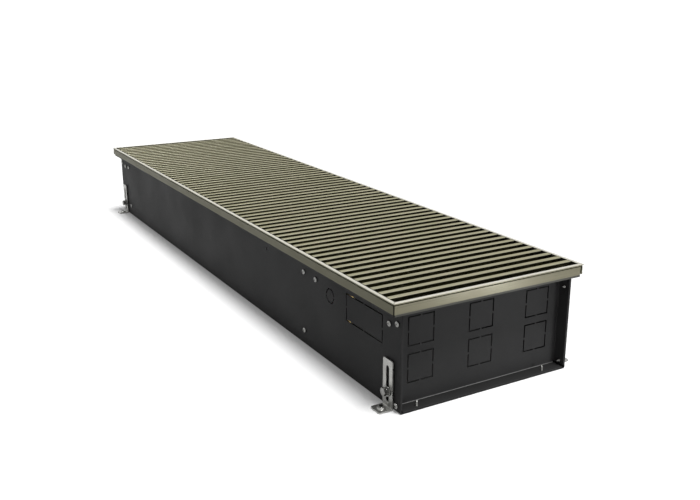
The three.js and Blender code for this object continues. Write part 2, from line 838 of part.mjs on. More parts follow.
function addConnectors() {
  const x = tubeEndX + fit;
  ["connector_return", "connector_flow"].forEach((name, row) => {
    const connector = addPiece(name, connectorSolid(), brass);
    connector.rotation.set(0, Math.PI / 2, 0);
    connector.position.set(x, tubeYs[0], tubeZs[row]);
  });
  const vent = new THREE.Group();
  vent.position.set(
    x + connectorCollarLength + connectorHexLength / 2,
    tubeYs[0],
    tubeZs[1] + connectorFlats / 2 / Math.cos(Math.PI / 6) + fit,
  );
  heater.add(vent);
  addPiece("air_vent_body", ventSolid(), brass, vent);
  addPiece("air_vent_screw", bleedScrewSolid(), brass, vent).position.z = ventHeight;
}

function addBraces() {
  const names = ["cross_brace_outer", "cross_brace_inner", "cross_brace_far"];
  names.forEach((name, i) => addPiece(name, braceSolid(braceXs[i]), coat));
}

function addFeet() {
  ends.forEach((end, e) => {
    for (const wall of walls) {
      const group = wallGroup(footXs[e], wall);
      const tag = "_" + end + "_" + wall;
      addPiece("foot_bracket" + tag, footSolid(), zinc, group);
      addPiece("foot_clamp_bolt" + tag, clampBoltSolid(), zinc, group);
      addPiece("foot_washer" + tag, washerSolid(), zinc, group);
      addPiece("foot_rivet_nut" + tag, rivetNutSolid(), zinc, group);
      addPiece("levelling_screw" + tag, levellingScrewSolid(), zinc, group);
    }
  });
}

function addScrews(stem, xs, heights) {
  const screw = screwSolid();
  ends.forEach((end, e) => {
    for (const wall of walls) {
      heights.forEach((z, level) => {
        const name = [stem, end, wall, ["lower", "upper"][level]].join("_");
        addPiece(name, screw, zinc, wallGroup(xs[e], wall)).position.z = z;
      });
    }
  });
}

addCasing();
addGrille();
addExchanger();
addConnectors();
addBraces();
addFeet();
addScrews("end_plate_screw", plateScrewXs, plateScrewHeights);
addScrews("bracket_screw", bracketScrewXs, bracketScrewHeights);

export default heater;
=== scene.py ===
# Dresses the trench convector heater: folded sheet, aluminium profiles, grille, exchanger and fixings.
# Lengths are in millimetres until a mesh is made, because Blender counts in metres.
# "near" is the +X end and "front" the -Y side, as in the names of the frame's nodes.
import json
import math

import bmesh
import bpy
import numpy as np
from mathutils import Matrix, Vector

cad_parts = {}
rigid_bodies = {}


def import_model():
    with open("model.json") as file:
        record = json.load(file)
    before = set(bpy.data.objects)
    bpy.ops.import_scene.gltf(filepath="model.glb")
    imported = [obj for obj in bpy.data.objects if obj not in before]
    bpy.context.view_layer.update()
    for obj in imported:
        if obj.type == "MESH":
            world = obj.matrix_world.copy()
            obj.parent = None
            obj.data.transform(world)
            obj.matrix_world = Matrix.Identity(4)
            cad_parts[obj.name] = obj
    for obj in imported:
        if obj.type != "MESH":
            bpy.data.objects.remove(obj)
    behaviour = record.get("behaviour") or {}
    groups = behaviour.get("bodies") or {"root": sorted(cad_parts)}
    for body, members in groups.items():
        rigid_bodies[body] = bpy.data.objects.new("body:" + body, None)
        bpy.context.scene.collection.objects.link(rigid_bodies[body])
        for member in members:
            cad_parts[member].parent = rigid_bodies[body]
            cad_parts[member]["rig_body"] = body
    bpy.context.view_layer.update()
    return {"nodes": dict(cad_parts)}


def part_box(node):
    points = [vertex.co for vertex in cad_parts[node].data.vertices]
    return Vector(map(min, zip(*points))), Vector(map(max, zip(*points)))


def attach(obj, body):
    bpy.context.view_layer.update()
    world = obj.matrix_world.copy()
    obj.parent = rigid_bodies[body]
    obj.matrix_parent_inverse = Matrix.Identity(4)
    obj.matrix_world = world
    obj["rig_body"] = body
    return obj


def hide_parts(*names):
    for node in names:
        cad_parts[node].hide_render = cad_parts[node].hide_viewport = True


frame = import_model()

MM = 0.001
ENDS = ("near", "far")
WALLS = ("front", "rear")
LEVELS = ("lower", "upper")
BRACES = ("outer", "inner", "far")


class Box:
    """The box of a CAD node, in millimetres."""

    def __init__(self, node):
        low, high = (np.array(corner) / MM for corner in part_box(node))
        self.x0, self.y0, self.z0 = low
        self.x1, self.y1, self.z1 = high
        self.x, self.y, self.z = (low + high) / 2


# ---- Sizes that the frame gives ----

TROUGH = Box("trough")
END_PLATE = Box("end_plate_near")
LONG_PROFILE = Box("frame_long_rear")
END_PROFILE = Box("frame_end_near")
GRILLE = Box("roll_up_grille")
STRIP = Box("grille_rest_strip_rear")
FINS = Box("fin_pack")
LOWER_TUBE = Box("hairpin_tube_lower")
UPPER_TUBE = Box("hairpin_tube_upper")
RETURN_BEND = Box("return_bend")
NEAR_BRACKET = Box("exchanger_bracket_near")
GUIDE = Box("air_guide_plate")
VENT = Box("air_vent_body")
VENT_SCREW = Box("air_vent_screw")
FOOT = Box("foot_bracket_near_rear")
CLAMP_BOLT = Box("foot_clamp_bolt_near_rear")
WASHER = Box("foot_washer_near_rear")
RIVET_NUT = Box("foot_rivet_nut_near_rear")
PAD_SCREW = Box("levelling_screw_near_rear")
PLATE_SCREW = Box("end_plate_screw_near_rear_lower")

# ---- Sizes that are the same as in the CAD ----

SHEET = 1.2
BEND = 1.0  # inside radius of a fold
FIT = 0.3  # room between pieces
BEND_STEPS = 8

WALL_INNER = NEAR_BRACKET.y1 + FIT
WALL_OUTER = WALL_INNER + SHEET
LEDGE_TOP = STRIP.z0
LEDGE_UNDER = LEDGE_TOP - SHEET
FRAME_TOP = LONG_PROFILE.z1
PLATE_FACE = END_PLATE.x0 + SHEET / 2  # middle of the recessed sheet

SCREW_HOLE = 2.4
CLAMP_HOLE = 4.6
BRACE_WIDTH = 12
BRACE_FLANGE = 7
TUBE_RADIUS = 7.5
TUBE_BORE = 6.5  # radius

# ---- Shapes: (points, faces) in millimetres ----


def merge(shapes):
    points = []
    faces = []
    count = 0
    for shape_points, shape_faces in shapes:
        points.append(shape_points)
        faces += [tuple(i + count for i in face) for face in shape_faces]
        count += len(shape_points)
    return np.concatenate(points), faces


def moved(shape, x=0.0, y=0.0, z=0.0):
    return shape[0] + np.array((x, y, z)), shape[1]


def turned(shape, axis, degrees):
    matrix = np.array(Matrix.Rotation(math.radians(degrees), 3, axis))
    return shape[0] @ matrix.T, shape[1]


# Where an outline's two directions and its extrusion go, for each axis.
OUTLINE_AXES = {"x": (1, 2, 0), "y": (0, 2, 1), "z": (0, 1, 2)}


def prism(outline, axis, start, end):
    """A closed prism of an outline, from one place on the axis to another."""
    count = len(outline)
    u, v, w = OUTLINE_AXES[axis]
    points = np.zeros((2 * count, 3))
    points[:, (u, v)] = np.tile(np.array(outline, float), (2, 1))
    points[:count, w] = start
    points[count:, w] = end
    sides = [(i, (i + 1) % count, count + (i + 1) % count, count + i) for i in range(count)]
    return points, [tuple(range(count)), tuple(range(2 * count - 1, count - 1, -1)), *sides]


def block(low, high):
    return prism(rectangle(low[0], high[0], low[1], high[1]), "z", low[2], high[2])


def circle(radius, u=0.0, v=0.0, sides=24, start=0.0, sweep=2 * math.pi):
    """Points on a circle. A full circle doesn't repeat its first point, and an arc has both ends."""
    steps = sides if sweep == 2 * math.pi else sides - 1
    angles = [start + sweep * k / steps for k in range(sides)]
    return [(u + radius * math.cos(a), v + radius * math.sin(a)) for a in angles]


def hexagon(flats):
    return circle(flats / 2 / math.cos(math.pi / 6), sides=6)


def rounded(corners, radius=0.0, steps=5):
    """A closed outline with rounded corners. A corner can bring its own radius as a third number."""
    radii = [corner[2] if len(corner) > 2 else radius for corner in corners]
    places = [np.array(corner[:2], float) for corner in corners]
    outline = []
    for i, (corner, radius) in enumerate(zip(places, radii)):
        if not radius:
            outline.append(tuple(corner))
            continue
        before = places[i - 1] - corner
        after = places[(i + 1) % len(places)] - corner
        before /= np.linalg.norm(before)
        after /= np.linalg.norm(after)
        half_angle = math.acos(float(np.clip(before @ after, -1, 1))) / 2
        bisector = (before + after) / np.linalg.norm(before + after)
        centre = corner + bisector * radius / math.sin(half_angle)
        first = corner + before * radius / math.tan(half_angle) - centre
        side = math.copysign(1, before[1] * after[0] - before[0] * after[1])
        angle = math.atan2(first[1], first[0])
        sweep = side * (math.pi - 2 * half_angle)
        outline += circle(radius, centre[0], centre[1], steps + 1, angle, sweep)
    return outline


def rectangle(u0, u1, v0, v1, radius=0.0, steps=5):
    return rounded([(u0, v0), (u1, v0), (u1, v1), (u0, v1)], radius, steps)


def obround(width, low, high, u=0.0, steps=10):
    """A slot with round ends that stands upright."""
    radius = width / 2
    top = circle(radius, u, high - radius, steps + 1, 0, math.pi)
    bottom = circle(radius, u, low + radius, steps + 1, math.pi, math.pi)
    return top + bottom


def folded(middle_line, thickness=SHEET, steps=BEND_STEPS):
    """The outline of a folded strip of sheet along its middle line."""
    line = [Vector(point) for point in middle_line]
    left = []
    right = []

    def station(point, normal):
        left.append(tuple(point + normal * thickness / 2))
        right.append(tuple(point - normal * thickness / 2))

    directions = [(b - a).normalized() for a, b in zip(line, line[1:])]
    normals = [Vector((-d.y, d.x)) for d in directions]
    radius = BEND + thickness / 2
    station(line[0], normals[0])
    for corner, before, after, normal in zip(line[1:-1], directions, directions[1:], normals):
        turn = math.atan2(before.x * after.y - before.y * after.x, before.dot(after))
        side = math.copysign(1, turn)
        start = corner - before * radius * math.tan(abs(turn) / 2)
        centre = start + normal * radius * side
        for k in range(steps + 1):
            angle = turn * k / steps
            x = normal.x * math.cos(angle) - normal.y * math.sin(angle)
            y = normal.x * math.sin(angle) + normal.y * math.cos(angle)
            ray = Vector((x, y))
            station(centre - ray * radius * side, ray)
    station(line[-1], normals[-1])
    return left + right[::-1]


def lathe(profile, sides=24, closed=False):
    """A round shape about Z. Its profile of (radius, height) ends on the axis or closes on itself."""
    points = []
    rings = []
    for radius, height in profile:
        count = sides if radius > 0 else 1
        rings.append([len(points) + i for i in range(count)])
        points += [(u, v, height) for u, v in circle(radius, sides=count)]
    pairs = list(zip(rings, rings[1:]))
    if closed:
        pairs.append((rings[-1], rings[0]))
    faces = []
    for low, high in pairs:
        for i in range(sides):
            j = (i + 1) % sides
            corners = [low[i % len(low)], low[j % len(low)], high[j % len(high)], high[i % len(high)]]
            faces.append(tuple(dict.fromkeys(corners)))
    return np.array(points, float), faces


def ring(outer, inner, low, high, edge=0.15, sides=32):
    """A flat ring with broken edges."""
    return lathe(rectangle(inner, outer, low, high, edge, 2), sides, closed=True)


def skin(grid, closed=False):
    """Faces over rows of points, each row a loop. The two ends are closed, or joined to each other."""
    rows, columns = grid.shape[:2]
    index = np.arange(rows * columns).reshape(rows, columns)
    last = rows if closed else rows - 1
    faces = []
    for row in range(last):
        low = index[row]
        high = index[(row + 1) % rows]
        for i in range(columns):
            j = (i + 1) % columns
            faces.append((low[i], low[j], high[j], high[i]))
    if not closed:
        faces += [tuple(index[0][::-1]), tuple(index[-1])]
    return grid.reshape(-1, 3), faces


def fan(angles, first, second):
    """For each row of two directions, the rays at some angles from the first to the second."""
    return np.cos(angles)[:, None] * first[:, None] + np.sin(angles)[:, None] * second[:, None]


def pipe(path, outer, inner, across, sides=24):
    """A hollow tube along a flat path. across is the direction square to the path's plane."""
    tangents = np.gradient(path, axis=0)
    tangents /= np.linalg.norm(tangents, axis=1)[:, None]
    across = np.zeros_like(path) + across
    rays = fan(np.arange(sides) / sides * 2 * math.pi, across, np.cross(tangents, across))
    loops = [path[:, None] + radius * rays for radius in (outer, inner)]
    return skin(np.concatenate([loops[0], loops[1][::-1]]), closed=True)


def coil(length, radius, wire, pitch, steps=11, sides=5):
    """A coil spring along X, centred on the origin."""
    turns = length / pitch
    angle = np.linspace(0, 2 * math.pi * turns, int(turns * steps) + 1)
    zeros = np.zeros_like(angle)
    radial = np.stack([zeros, np.cos(angle), np.sin(angle)], 1)
    centre = radial * radius + np.stack([angle / (2 * math.pi) * pitch - length / 2, zeros, zeros], 1)
    forward = np.stack([zeros + 1, zeros, zeros], 1)
    around = np.arange(sides) / sides * 2 * math.pi
    return skin(centre[:, None] + wire / 2 * fan(around, radial, forward))


THREAD_DEPTH = 0.55  # as a share of the pitch
BLUNT_TIP = 0.75  # what the tip loses of its radius


def thread(radius, pitch, length, point=0.0, sides=18):
    """A threaded rod from the origin up. Its last stretch, as long as point, runs to a blunt tip."""
    rows = int(length / pitch * 5) + 1
    height = np.linspace(0, length, rows)[:, None]
    share = (np.arange(sides) / sides)[None, :]
    crest = np.abs(2 * ((height / pitch - share) % 1) - 1)
    radii = radius - THREAD_DEPTH * pitch * (1 - crest)
    if point:
        radii = radii * (1 - BLUNT_TIP * np.clip((height - length + point) / point, 0, 1))
    angle = share * 2 * math.pi + height * 0
    grid = np.stack([radii * np.cos(angle), radii * np.sin(angle), height + share * 0], 2)
    return skin(grid)


# ---- Meshes ----


def put_in_scene(name, data, place=(0, 0, 0), turn=(0, 0, 0)):
    made = bpy.data.objects.new(name, data)
    made.location = place
    made.rotation_euler = turn
    bpy.context.scene.collection.objects.link(made)
    return made


def raw_object(shape, name="work"):
    mesh = bpy.data.meshes.new(name)
    mesh.from_pydata((shape[0] * MM).tolist(), [], shape[1])
    work = bmesh.new()
    work.from_mesh(mesh)
    bmesh.ops.remove_doubles(work, verts=work.verts, dist=1e-7)
    bmesh.ops.dissolve_degenerate(work, edges=work.edges, dist=1e-8)
    bmesh.ops.recalc_face_normals(work, faces=work.faces)
    work.to_mesh(mesh)
    work.free()
    return put_in_scene(name, mesh)


def applied(made):
    """The object's mesh with its modifiers in it."""
    graph = bpy.context.evaluated_depsgraph_get()
    return bpy.data.meshes.new_from_object(made.evaluated_get(graph), depsgraph=graph)


def boolean(body, other, operation="DIFFERENCE"):
    objects = [raw_object(body), raw_object(other)]
    modifier = objects[0].modifiers.new("boolean", "BOOLEAN")
    modifier.operation = operation
    modifier.solver = "EXACT"
    modifier.object = objects[1]
    mesh = applied(objects[0])
    points = np.array([vertex.co for vertex in mesh.vertices]) / MM
    faces = [tuple(polygon.vertices) for polygon in mesh.polygons]
    for made in objects:
        bpy.data.objects.remove(made)
    bpy.data.meshes.remove(mesh)
    return points, faces


def cut(body, cutters):
    return boolean(body, merge(cutters))


def cut_in_turn(body, cutters):
    """Cuts with each cutter by itself, where they reach into each other."""
    for cutter in cutters:
        body = boolean(body, cutter)
    return body


def join(first, *others):
    for other in others:
        first = boolean(first, other, "UNION")
    return first


SHARP_ANGLE = math.radians(38)
BEVEL_ANGLE = math.radians(32)

LEANING = 0.3  # the share of a normal that makes a face lean some way
FACING = 0.9  # and that makes it face that way
ACROSS = 0.1  # below this a face stands square to that way
CLOSE = 0.1  # millimetres from a place


def paint(made, finish, chosen):
    """Gives some faces a finish of their own. chosen takes the way a face looks and where its middle is."""
    made.data.materials.append(finish["material"])
    index = len(made.data.materials) - 1
    for face in made.data.polygons:
        if chosen(face.normal, face.center / MM):
            face.material_index = index


def use_modifiers(made):
    made.data = applied(made)
    made.modifiers.clear()


def make_piece(name, shape, finish, body, edge=0.0):
    """A visible piece that rides on a body. edge is the width of its broken edges."""
    made = raw_object(shape, name)
    if edge:
        bevel = made.modifiers.new("edges", "BEVEL")
        bevel.width = edge * MM
        bevel.segments = 2
        bevel.limit_method = "ANGLE"
        bevel.angle_limit = BEVEL_ANGLE
        bevel.use_clamp_overlap = False
        use_modifiers(made)
    made.data.shade_smooth()
    made.data.set_sharp_from_angle(angle=SHARP_ANGLE)
    weighted = made.modifiers.new("normals", "WEIGHTED_NORMAL")
    weighted.keep_sharp = True
    use_modifiers(made)
    made.data.name = name
    made.data.materials.append(finish["material"])
    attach(made, body)
    return made


def dress(node, shape, finish, edge=0.0):
    """The visible piece that stands for a CAD node."""
    body = frame["nodes"][node]["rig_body"]
    made = make_piece(node + "_dressed", shape, finish, body, edge)
    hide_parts(node)
    return made


# ---- Finishes ----


def set_inputs(tree, node, inputs):
    """Gives a node its inputs. Each is a value or an output of another node."""
    for name, value in inputs.items():
        if isinstance(value, bpy.types.NodeSocket):
            tree.links.new(value, node.inputs[name])
        else:
            node.inputs[name].default_value = value


def add_node(tree, kind, inputs, **settings):
    node = tree.nodes.new(kind)
    for name, value in settings.items():
        setattr(node, name, value)
    set_inputs(tree, node, inputs)
    return node


class Nodes:
    """A node material in the making: layers of noise change its colour, its roughness and its bump."""

    def __init__(self, name, colour, metallic, roughness, specular=0.5, ior=1.5, edge=(1, 1, 1)):
        self.material = bpy.data.materials.new(name)
        self.material.use_nodes = True
        self.tree = self.material.node_tree
        self.shader = self.tree.nodes["Principled BSDF"]
        even = {"Metallic": metallic, "Specular IOR Level": specular, "IOR": ior}
        set_inputs(self.tree, self.shader, {**even, "Specular Tint": (*edge, 1)})
        self.place = self.output("Object", "ShaderNodeTexCoord", {})
        self.colour = self.output(0, "ShaderNodeRGB", {})
        self.colour.default_value = (*colour, 1)
        self.roughness = self.output(0, "ShaderNodeValue", {})
        self.roughness.default_value = roughness
        self.normal = None

    def output(self, name, kind, inputs, **settings):
        """An output of a new node."""
        return add_node(self.tree, kind, inputs, **settings).outputs[name]

    def noise(self, scale, detail):
        """Noise with so many grains per metre, or flat patches where no detail is given."""
        stretch = [float(number) for number in np.broadcast_to(scale, 3)]
        place = self.output("Vector", "ShaderNodeMapping", {"Scale": stretch, "Vector": self.place})
        if detail is None:
            cells = self.output("Color", "ShaderNodeTexVoronoi", {"Scale": 1.0, "Vector": place})
            return self.output("Red", "ShaderNodeSeparateColor", {"Color": cells})
        return self.output("Fac", "ShaderNodeTexNoise", {"Scale": 1.0, "Detail": detail, "Vector": place})

    def ranged(self, noise, low, high, start, end):
        inputs = {"Value": noise, "From Min": start, "From Max": end, "To Min": low, "To Max": high}
        return self.output("Result", "ShaderNodeMapRange", inputs)

    def mix(self, factor, colour, blend="MIX"):
        inputs = {"Factor": factor, "A": self.colour, "B": colour}
        self.colour = self.output("Result", "ShaderNodeMix", inputs, data_type="RGBA", blend_type=blend)

    def layer(self, scale, detail=None, span=(0.3, 0.7), tint=None, shade=None, polish=None, bump=None):
        """One noise. tint mixes a colour in, up to an amount, and may have its own span. shade multiplies
        the colour, polish adds to the roughness, and bump has a depth in millimetres."""
        noise = self.noise(scale, detail)
        if tint:
            colour, amount, *own_span = tint
            self.mix(self.ranged(noise, 0.0, amount, *(own_span or span)), (*colour, 1))
        if shade:
            level = self.ranged(noise, *shade, *span)
            channels = dict.fromkeys(("Red", "Green", "Blue"), level)
            self.mix(1.0, self.output("Color", "ShaderNodeCombineColor", channels), "MULTIPLY")
        if polish:
            inputs = {0: self.roughness, 1: self.ranged(noise, *polish, *span)}
            self.roughness = self.output(0, "ShaderNodeMath", inputs, operation="ADD", use_clamp=True)
        if bump:
            inputs = {"Strength": 1.0, "Distance": bump * MM, "Height": noise}
            if self.normal:
                inputs["Normal"] = self.normal
            self.normal = self.output("Normal", "ShaderNodeBump", inputs)

    def finish(self, slot):
        inputs = {"Base Color": self.colour, "Roughness": self.roughness, "Normal": self.normal}
        set_inputs(self.tree, self.shader, inputs)
        return {"material": self.material, "slot": slot}


def along(axis, slow, fast):
    """Noise scale for lines that run along an axis."""
    scale = [fast, fast, fast]
    scale["xyz".index(axis)] = slow
    return scale


def coat_finish(name, colour, roughness, ior):
    """Dark coat: broad patches of uneven gloss, a fine orange-peel skin, and dust."""
    nodes = Nodes(name, colour, 0.0, roughness, ior=ior)
    nodes.layer(14, 4, shade=(0.90, 1.12), polish=(-0.05, 0.07))
    nodes.layer(900, 2, polish=(-0.04, 0.05), bump=0.020)
    nodes.layer(4200, 1, shade=(0.94, 1.08), bump=0.006)
    return nodes.finish("trough_coat")


def extruded_finish(name, slot, axis, colour, warm, metallic, roughness, ior=1.5, edge=(1, 1, 1)):
    """Satin anodised aluminium: warmer patches, the die's fine lines and bands along its length, and grain.
    edge is its tint at grazing light."""
    nodes = Nodes(name, colour, metallic, roughness, specular=0.4, ior=ior, edge=edge)
    nodes.layer(22, 3, tint=(warm, 0.5), polish=(-0.03, 0.04))
    nodes.layer(along(axis, 2.2, 1500), 3, shade=(0.94, 1.05), polish=(-0.06, 0.08), bump=0.010)
    nodes.layer(along(axis, 0.8, 240), 2, shade=(0.96, 1.04))
    nodes.layer(3600, 1, shade=(0.97, 1.03), bump=0.004)
    return nodes.finish(slot)


def zinc_finish(name, slot, colour, roughness):
    """Bright zinc: a small spangle, rolling marks, and stains."""
    nodes = Nodes(name, colour, 0.92, roughness)
    nodes.layer(420, span=(0.0, 1.0), shade=(0.86, 1.10), polish=(-0.05, 0.06))
    nodes.layer(along("z", 30, 900), 3, shade=(0.93, 1.05), bump=0.006)
    nodes.layer(90, 4, tint=((0.20, 0.19, 0.17), 0.35, 0.5, 0.75), polish=(-0.04, 0.14))
    return nodes.finish(slot)


def copper_finish():
    """Drawn copper: lines along the tube, and a light brown tarnish."""
    nodes = Nodes("drawn_copper", (0.76, 0.37, 0.22), 0.95, 0.28)
    nodes.layer(along("x", 4, 1400), 2, shade=(0.92, 1.05), bump=0.006)
    nodes.layer(40, 5, tint=((0.25, 0.11, 0.06), 0.55, 0.42, 0.72), polish=(-0.04, 0.20))
    return nodes.finish("tube_copper")


def fin_finish():
    """Thin bare aluminium sheet: faint ripples, and rolling lines."""
    nodes = Nodes("fin_sheet", (0.72, 0.73, 0.74), 0.85, 0.32)
    nodes.layer((60, 60, 25), 2, shade=(0.88, 1.06), bump=0.10)
    nodes.layer(along("y", 5, 1600), 2, shade=(0.94, 1.05), polish=(-0.05, 0.08))
    return nodes.finish("fin_aluminium")


def brass_finish():
    """Machined brass: turning marks, and a few duller places."""
    nodes = Nodes("machined_brass", (0.50, 0.37, 0.17), 0.95, 0.36)
    nodes.layer(along("y", 60, 2200), 2, shade=(0.93, 1.05), bump=0.006)
    nodes.layer(110, 4, tint=((0.34, 0.23, 0.09), 0.45, 0.5, 0.78), polish=(-0.05, 0.18))
    return nodes.finish("fitting_brass")


def rubber_finish():
    """Matt black rubber: a bloom of dust, and a fine skin."""
    nodes = Nodes("rest_rubber", (0.018, 0.018, 0.018), 0.0, 0.78, specular=0.3)
    nodes.layer(45, 4, tint=((0.07, 0.068, 0.062), 0.5, 0.48, 0.75), polish=(-0.05, 0.1))
    nodes.layer(1800, 3, shade=(0.88, 1.12), bump=0.03)
    return nodes.finish("rest_strip_rubber")


# painted shade: the long profiles get a duller copy of the frame's anodising, so the long sides read darker
# than the ends
LONG_SHADED_COLOUR = (0.26, 0.25, 0.168)
# painted light: the lip's upward faces get a much lighter copy of the frame's anodising
LIP_LIT_COLOUR = (0.54, 0.527, 0.455)
LIP_LIT_WARM = (0.56, 0.53, 0.445)
# painted shade: near black for the groove under the lip's nose and the cut ends of the front profile
GROOVE_SHADE_COLOUR = (0.03, 0.029, 0.02)


def frame_finish(name, axis, colour, warm, metallic, roughness, ior=1.5):
    return extruded_finish(name, "frame_anodised", axis, colour, warm, metallic, roughness, ior)


def slat_finish(name, colour, warm, roughness, edge):
    return extruded_finish(name, "slat_anodised", "y", colour, warm, 1.0, roughness, edge=edge)


COAT = coat_finish("dark_coat", (0.042, 0.042, 0.0425), 0.52, 1.15)
# painted light: a lighter copy of the trough's coat for the end plates
END_LIT_COAT = coat_finish("end_coat_painted_light", (0.050, 0.050, 0.0505), 0.50, 1.2)
# painted shade: a darker copy of the coat for the inside of the trough and the pieces in it
INNER_SHADE_COAT = coat_finish("painted_inner_shade", (0.018, 0.018, 0.018), 0.5, 1.25)
# painted shade: a near-black coat for the walls of slots and holes, where shade falls inside them
SLOT_SHADE_COAT = coat_finish("painted_slot_shade", (0.006, 0.006, 0.006), 0.7, 1.1)
# painted highlight: a lighter, glossier copy of the coat for the end plate's bottom bend
BEND_HIGHLIGHT_COAT = coat_finish("painted_bend_highlight", (0.16, 0.16, 0.158), 0.3, 1.6)
# painted light: a lighter, warmer copy of the coat for the band on the end plate's upturned edge
BAND_LIGHT_COAT = coat_finish("painted_band_light", (0.10, 0.10, 0.082), 0.45, 1.4)
# painted shade: the duller copy for the long profiles
FRAME_LONG_SHADED_METAL = frame_finish("anodised_long_painted_shade", "x", LONG_SHADED_COLOUR, LONG_SHADED_COLOUR, 0.08, 0.44, 1.25)
FRAME_END_METAL = frame_finish(
    "anodised_end", "y", (0.245, 0.234, 0.156), (0.262, 0.237, 0.16), 0.18, 0.30, 1.4
)
GROOVE_SHADE_METAL = frame_finish("lip_groove_painted_shade", "x", GROOVE_SHADE_COLOUR, GROOVE_SHADE_COLOUR, 0.0, 0.7, 1.15)
# painted light for the lip's upward faces
LIP_LONG_LIT_METAL = frame_finish("lip_long_painted_light", "x", LIP_LIT_COLOUR, LIP_LIT_WARM, 0.5, 0.34)
LIP_END_LIT_METAL = frame_finish("lip_end_painted_light", "y", LIP_LIT_COLOUR, LIP_LIT_WARM, 0.5, 0.34)
SLAT_METAL = slat_finish("slat_top", (0.415, 0.408, 0.318), (0.44, 0.412, 0.325), 0.34, (0.60, 0.575, 0.42))
# painted shade: a darker copy of the slats' anodising for their webs and sides, which lie in shade between
# the slats
WEB_SHADE_METAL = slat_finish("slat_web_painted_shade", (0.20, 0.19, 0.11), (0.18, 0.155, 0.10), 0.30, (0.42, 0.40, 0.26))
FOOT_ZINC = zinc_finish("zinc_sheet", "foot_zinc", (0.36, 0.36, 0.345), 0.30)
SCREW_ZINC = zinc_finish("zinc_fastener", "fastener_zinc", (0.23, 0.23, 0.222), 0.15)
# painted shade: darker than bare steel, so the springs sink into the shade between the slats
SPRING_SHADE_STEEL = zinc_finish("spring_steel_painted_shade", "slat_anodised", (0.10, 0.10, 0.10), 0.40)
COPPER = copper_finish()
FIN_SHEET = fin_finish()
BRASS = brass_finish()
RUBBER = rubber_finish()

# ---- Cut patterns ----


def bore(radius, axis, u, v, start, end, sides=24):
    return prism(circle(radius, u, v, sides), axis, start, end)


def cross_bores(radius, x, heights):
    """Holes through both side walls, or through both flanges that stand against them."""
    spans = ((-WALL_OUTER - 1, -WALL_OUTER / 2), (WALL_OUTER / 2, WALL_OUTER + 1))
    return [bore(radius, "y", x, z, *span) for z in heights for span in spans]


SLOT_WIDTH = 1.9
BRIDGE = 2.6


def rectangular_slots(length, height, u, v, axis, start, end):
    """Four L-shaped slots round a knock-out, with a bridge in the middle of each side."""
    a = length / 2
    b = height / 2
    corner = [
        (BRIDGE / 2, b, 0.5),
        (a, b, 1.0),
        (a, BRIDGE / 2, 0.5),
        (a - SLOT_WIDTH, BRIDGE / 2, 0.5),
        (a - SLOT_WIDTH, b - SLOT_WIDTH, 0.3),
        (BRIDGE / 2, b - SLOT_WIDTH, 0.5),
    ]
    outline = rounded(corner, steps=3)
    signs = [(right, up) for right in (-1, 1) for up in (-1, 1)]
    return [prism([(u + s * p, v + t * q) for p, q in outline], axis, start, end) for s, t in signs]


def round_slots(radius, u, v, axis, start, end):
    """Four curved slots round a knock-out."""
    gap = BRIDGE / radius
    sweep = math.pi / 2 - gap
    slots = []
    for quarter in range(4):
        first = quarter * math.pi / 2 + gap / 2
        outer = circle(radius, u, v, 9, first, sweep)
        inner = circle(radius - SLOT_WIDTH, u, v, 9, first + sweep, -sweep)
        slots.append(prism(outer + inner, axis, start, end))
    return slots


# ---- Casing ----

WINDOW = (TROUGH.x1 - 87.5, LEDGE_UNDER - 32.7)  # x and z
WINDOW_SIZE = (90.4, 39)
GLAND = (TROUGH.x1 - 176.7, LEDGE_UNDER - 31.5)
GLAND_RADIUS = 11
SPARE_HOLE = (TROUGH.x1 - 380, LEDGE_UNDER - 17.5)
SPARE_HOLE_RADIUS = 2.5

KNOCK_OUT = 40
KNOCK_OUT_PITCH = 94.5
LOWER_ROW = 49.3
UPPER_ROW_DROP = 32.5

BEND_TOP = END_PLATE.z0 + SHEET + BEND + 0.5
BAND_START = END_PLATE.x1 - 2.5  # where the painted light on the end plate's upturned edge begins

BRACE_SCREW_LEVEL = LEDGE_UNDER - 19.8


def screw_levels(stem):
    return [Box(f"{stem}_near_rear_{level}").z for level in LEVELS]


# The faces inside the trough that get painted shade.
def trough_shade_faces(way, place):
    on_wall_face = abs(place.y) < WALL_INNER + CLOSE and way.y * place.y < -LEANING * abs(place.y)
    on_floor_face = place.z < SHEET + BEND and way.z > LEANING
    return on_wall_face or on_floor_face


def dress_trough():
    half = SHEET / 2
    side = [
        (TROUGH.y1 - half, TROUGH.z1),
        (TROUGH.y1 - half, LEDGE_TOP - half),
        (WALL_OUTER - half, LEDGE_TOP - half),
        (WALL_OUTER - half, half),
    ]
    middle_line = side + [(-y, z) for y, z in reversed(side)]
    sheet = prism(folded(middle_line), "x", TROUGH.x0, TROUGH.x1)
    front = (-WALL_OUTER - 1, -WALL_INNER + 1)
    cutters = []
    for end in ENDS:
        for stem in ("end_plate_screw", "bracket_screw"):
            x = Box(f"{stem}_{end}_rear_lower").x
            cutters += cross_bores(SCREW_HOLE, x, screw_levels(stem))
        cutters += cross_bores(CLAMP_HOLE, Box(f"foot_bracket_{end}_rear").x, [CLAMP_BOLT.z])
    for brace in BRACES:
        cutters += cross_bores(SCREW_HOLE, Box("cross_brace_" + brace).x, [BRACE_SCREW_LEVEL])
    cutters += rectangular_slots(*WINDOW_SIZE, *WINDOW, "y", *front)
    cutters += round_slots(GLAND_RADIUS, *GLAND, "y", *front)
    cutters.append(bore(SPARE_HOLE_RADIUS, "y", *SPARE_HOLE, *front))
    made = dress("trough", cut(sheet, cutters), COAT)
    middle_y = -WALL_INNER - half
    # painted shade on the walls of the slots and holes in the front wall
    paint(made, SLOT_SHADE_COAT, lambda way, place: abs(place.y - middle_y) < CLOSE and abs(way.y) < ACROSS)
    # painted shade on the trough's inner faces
    paint(made, INNER_SHADE_COAT, trough_shade_faces)


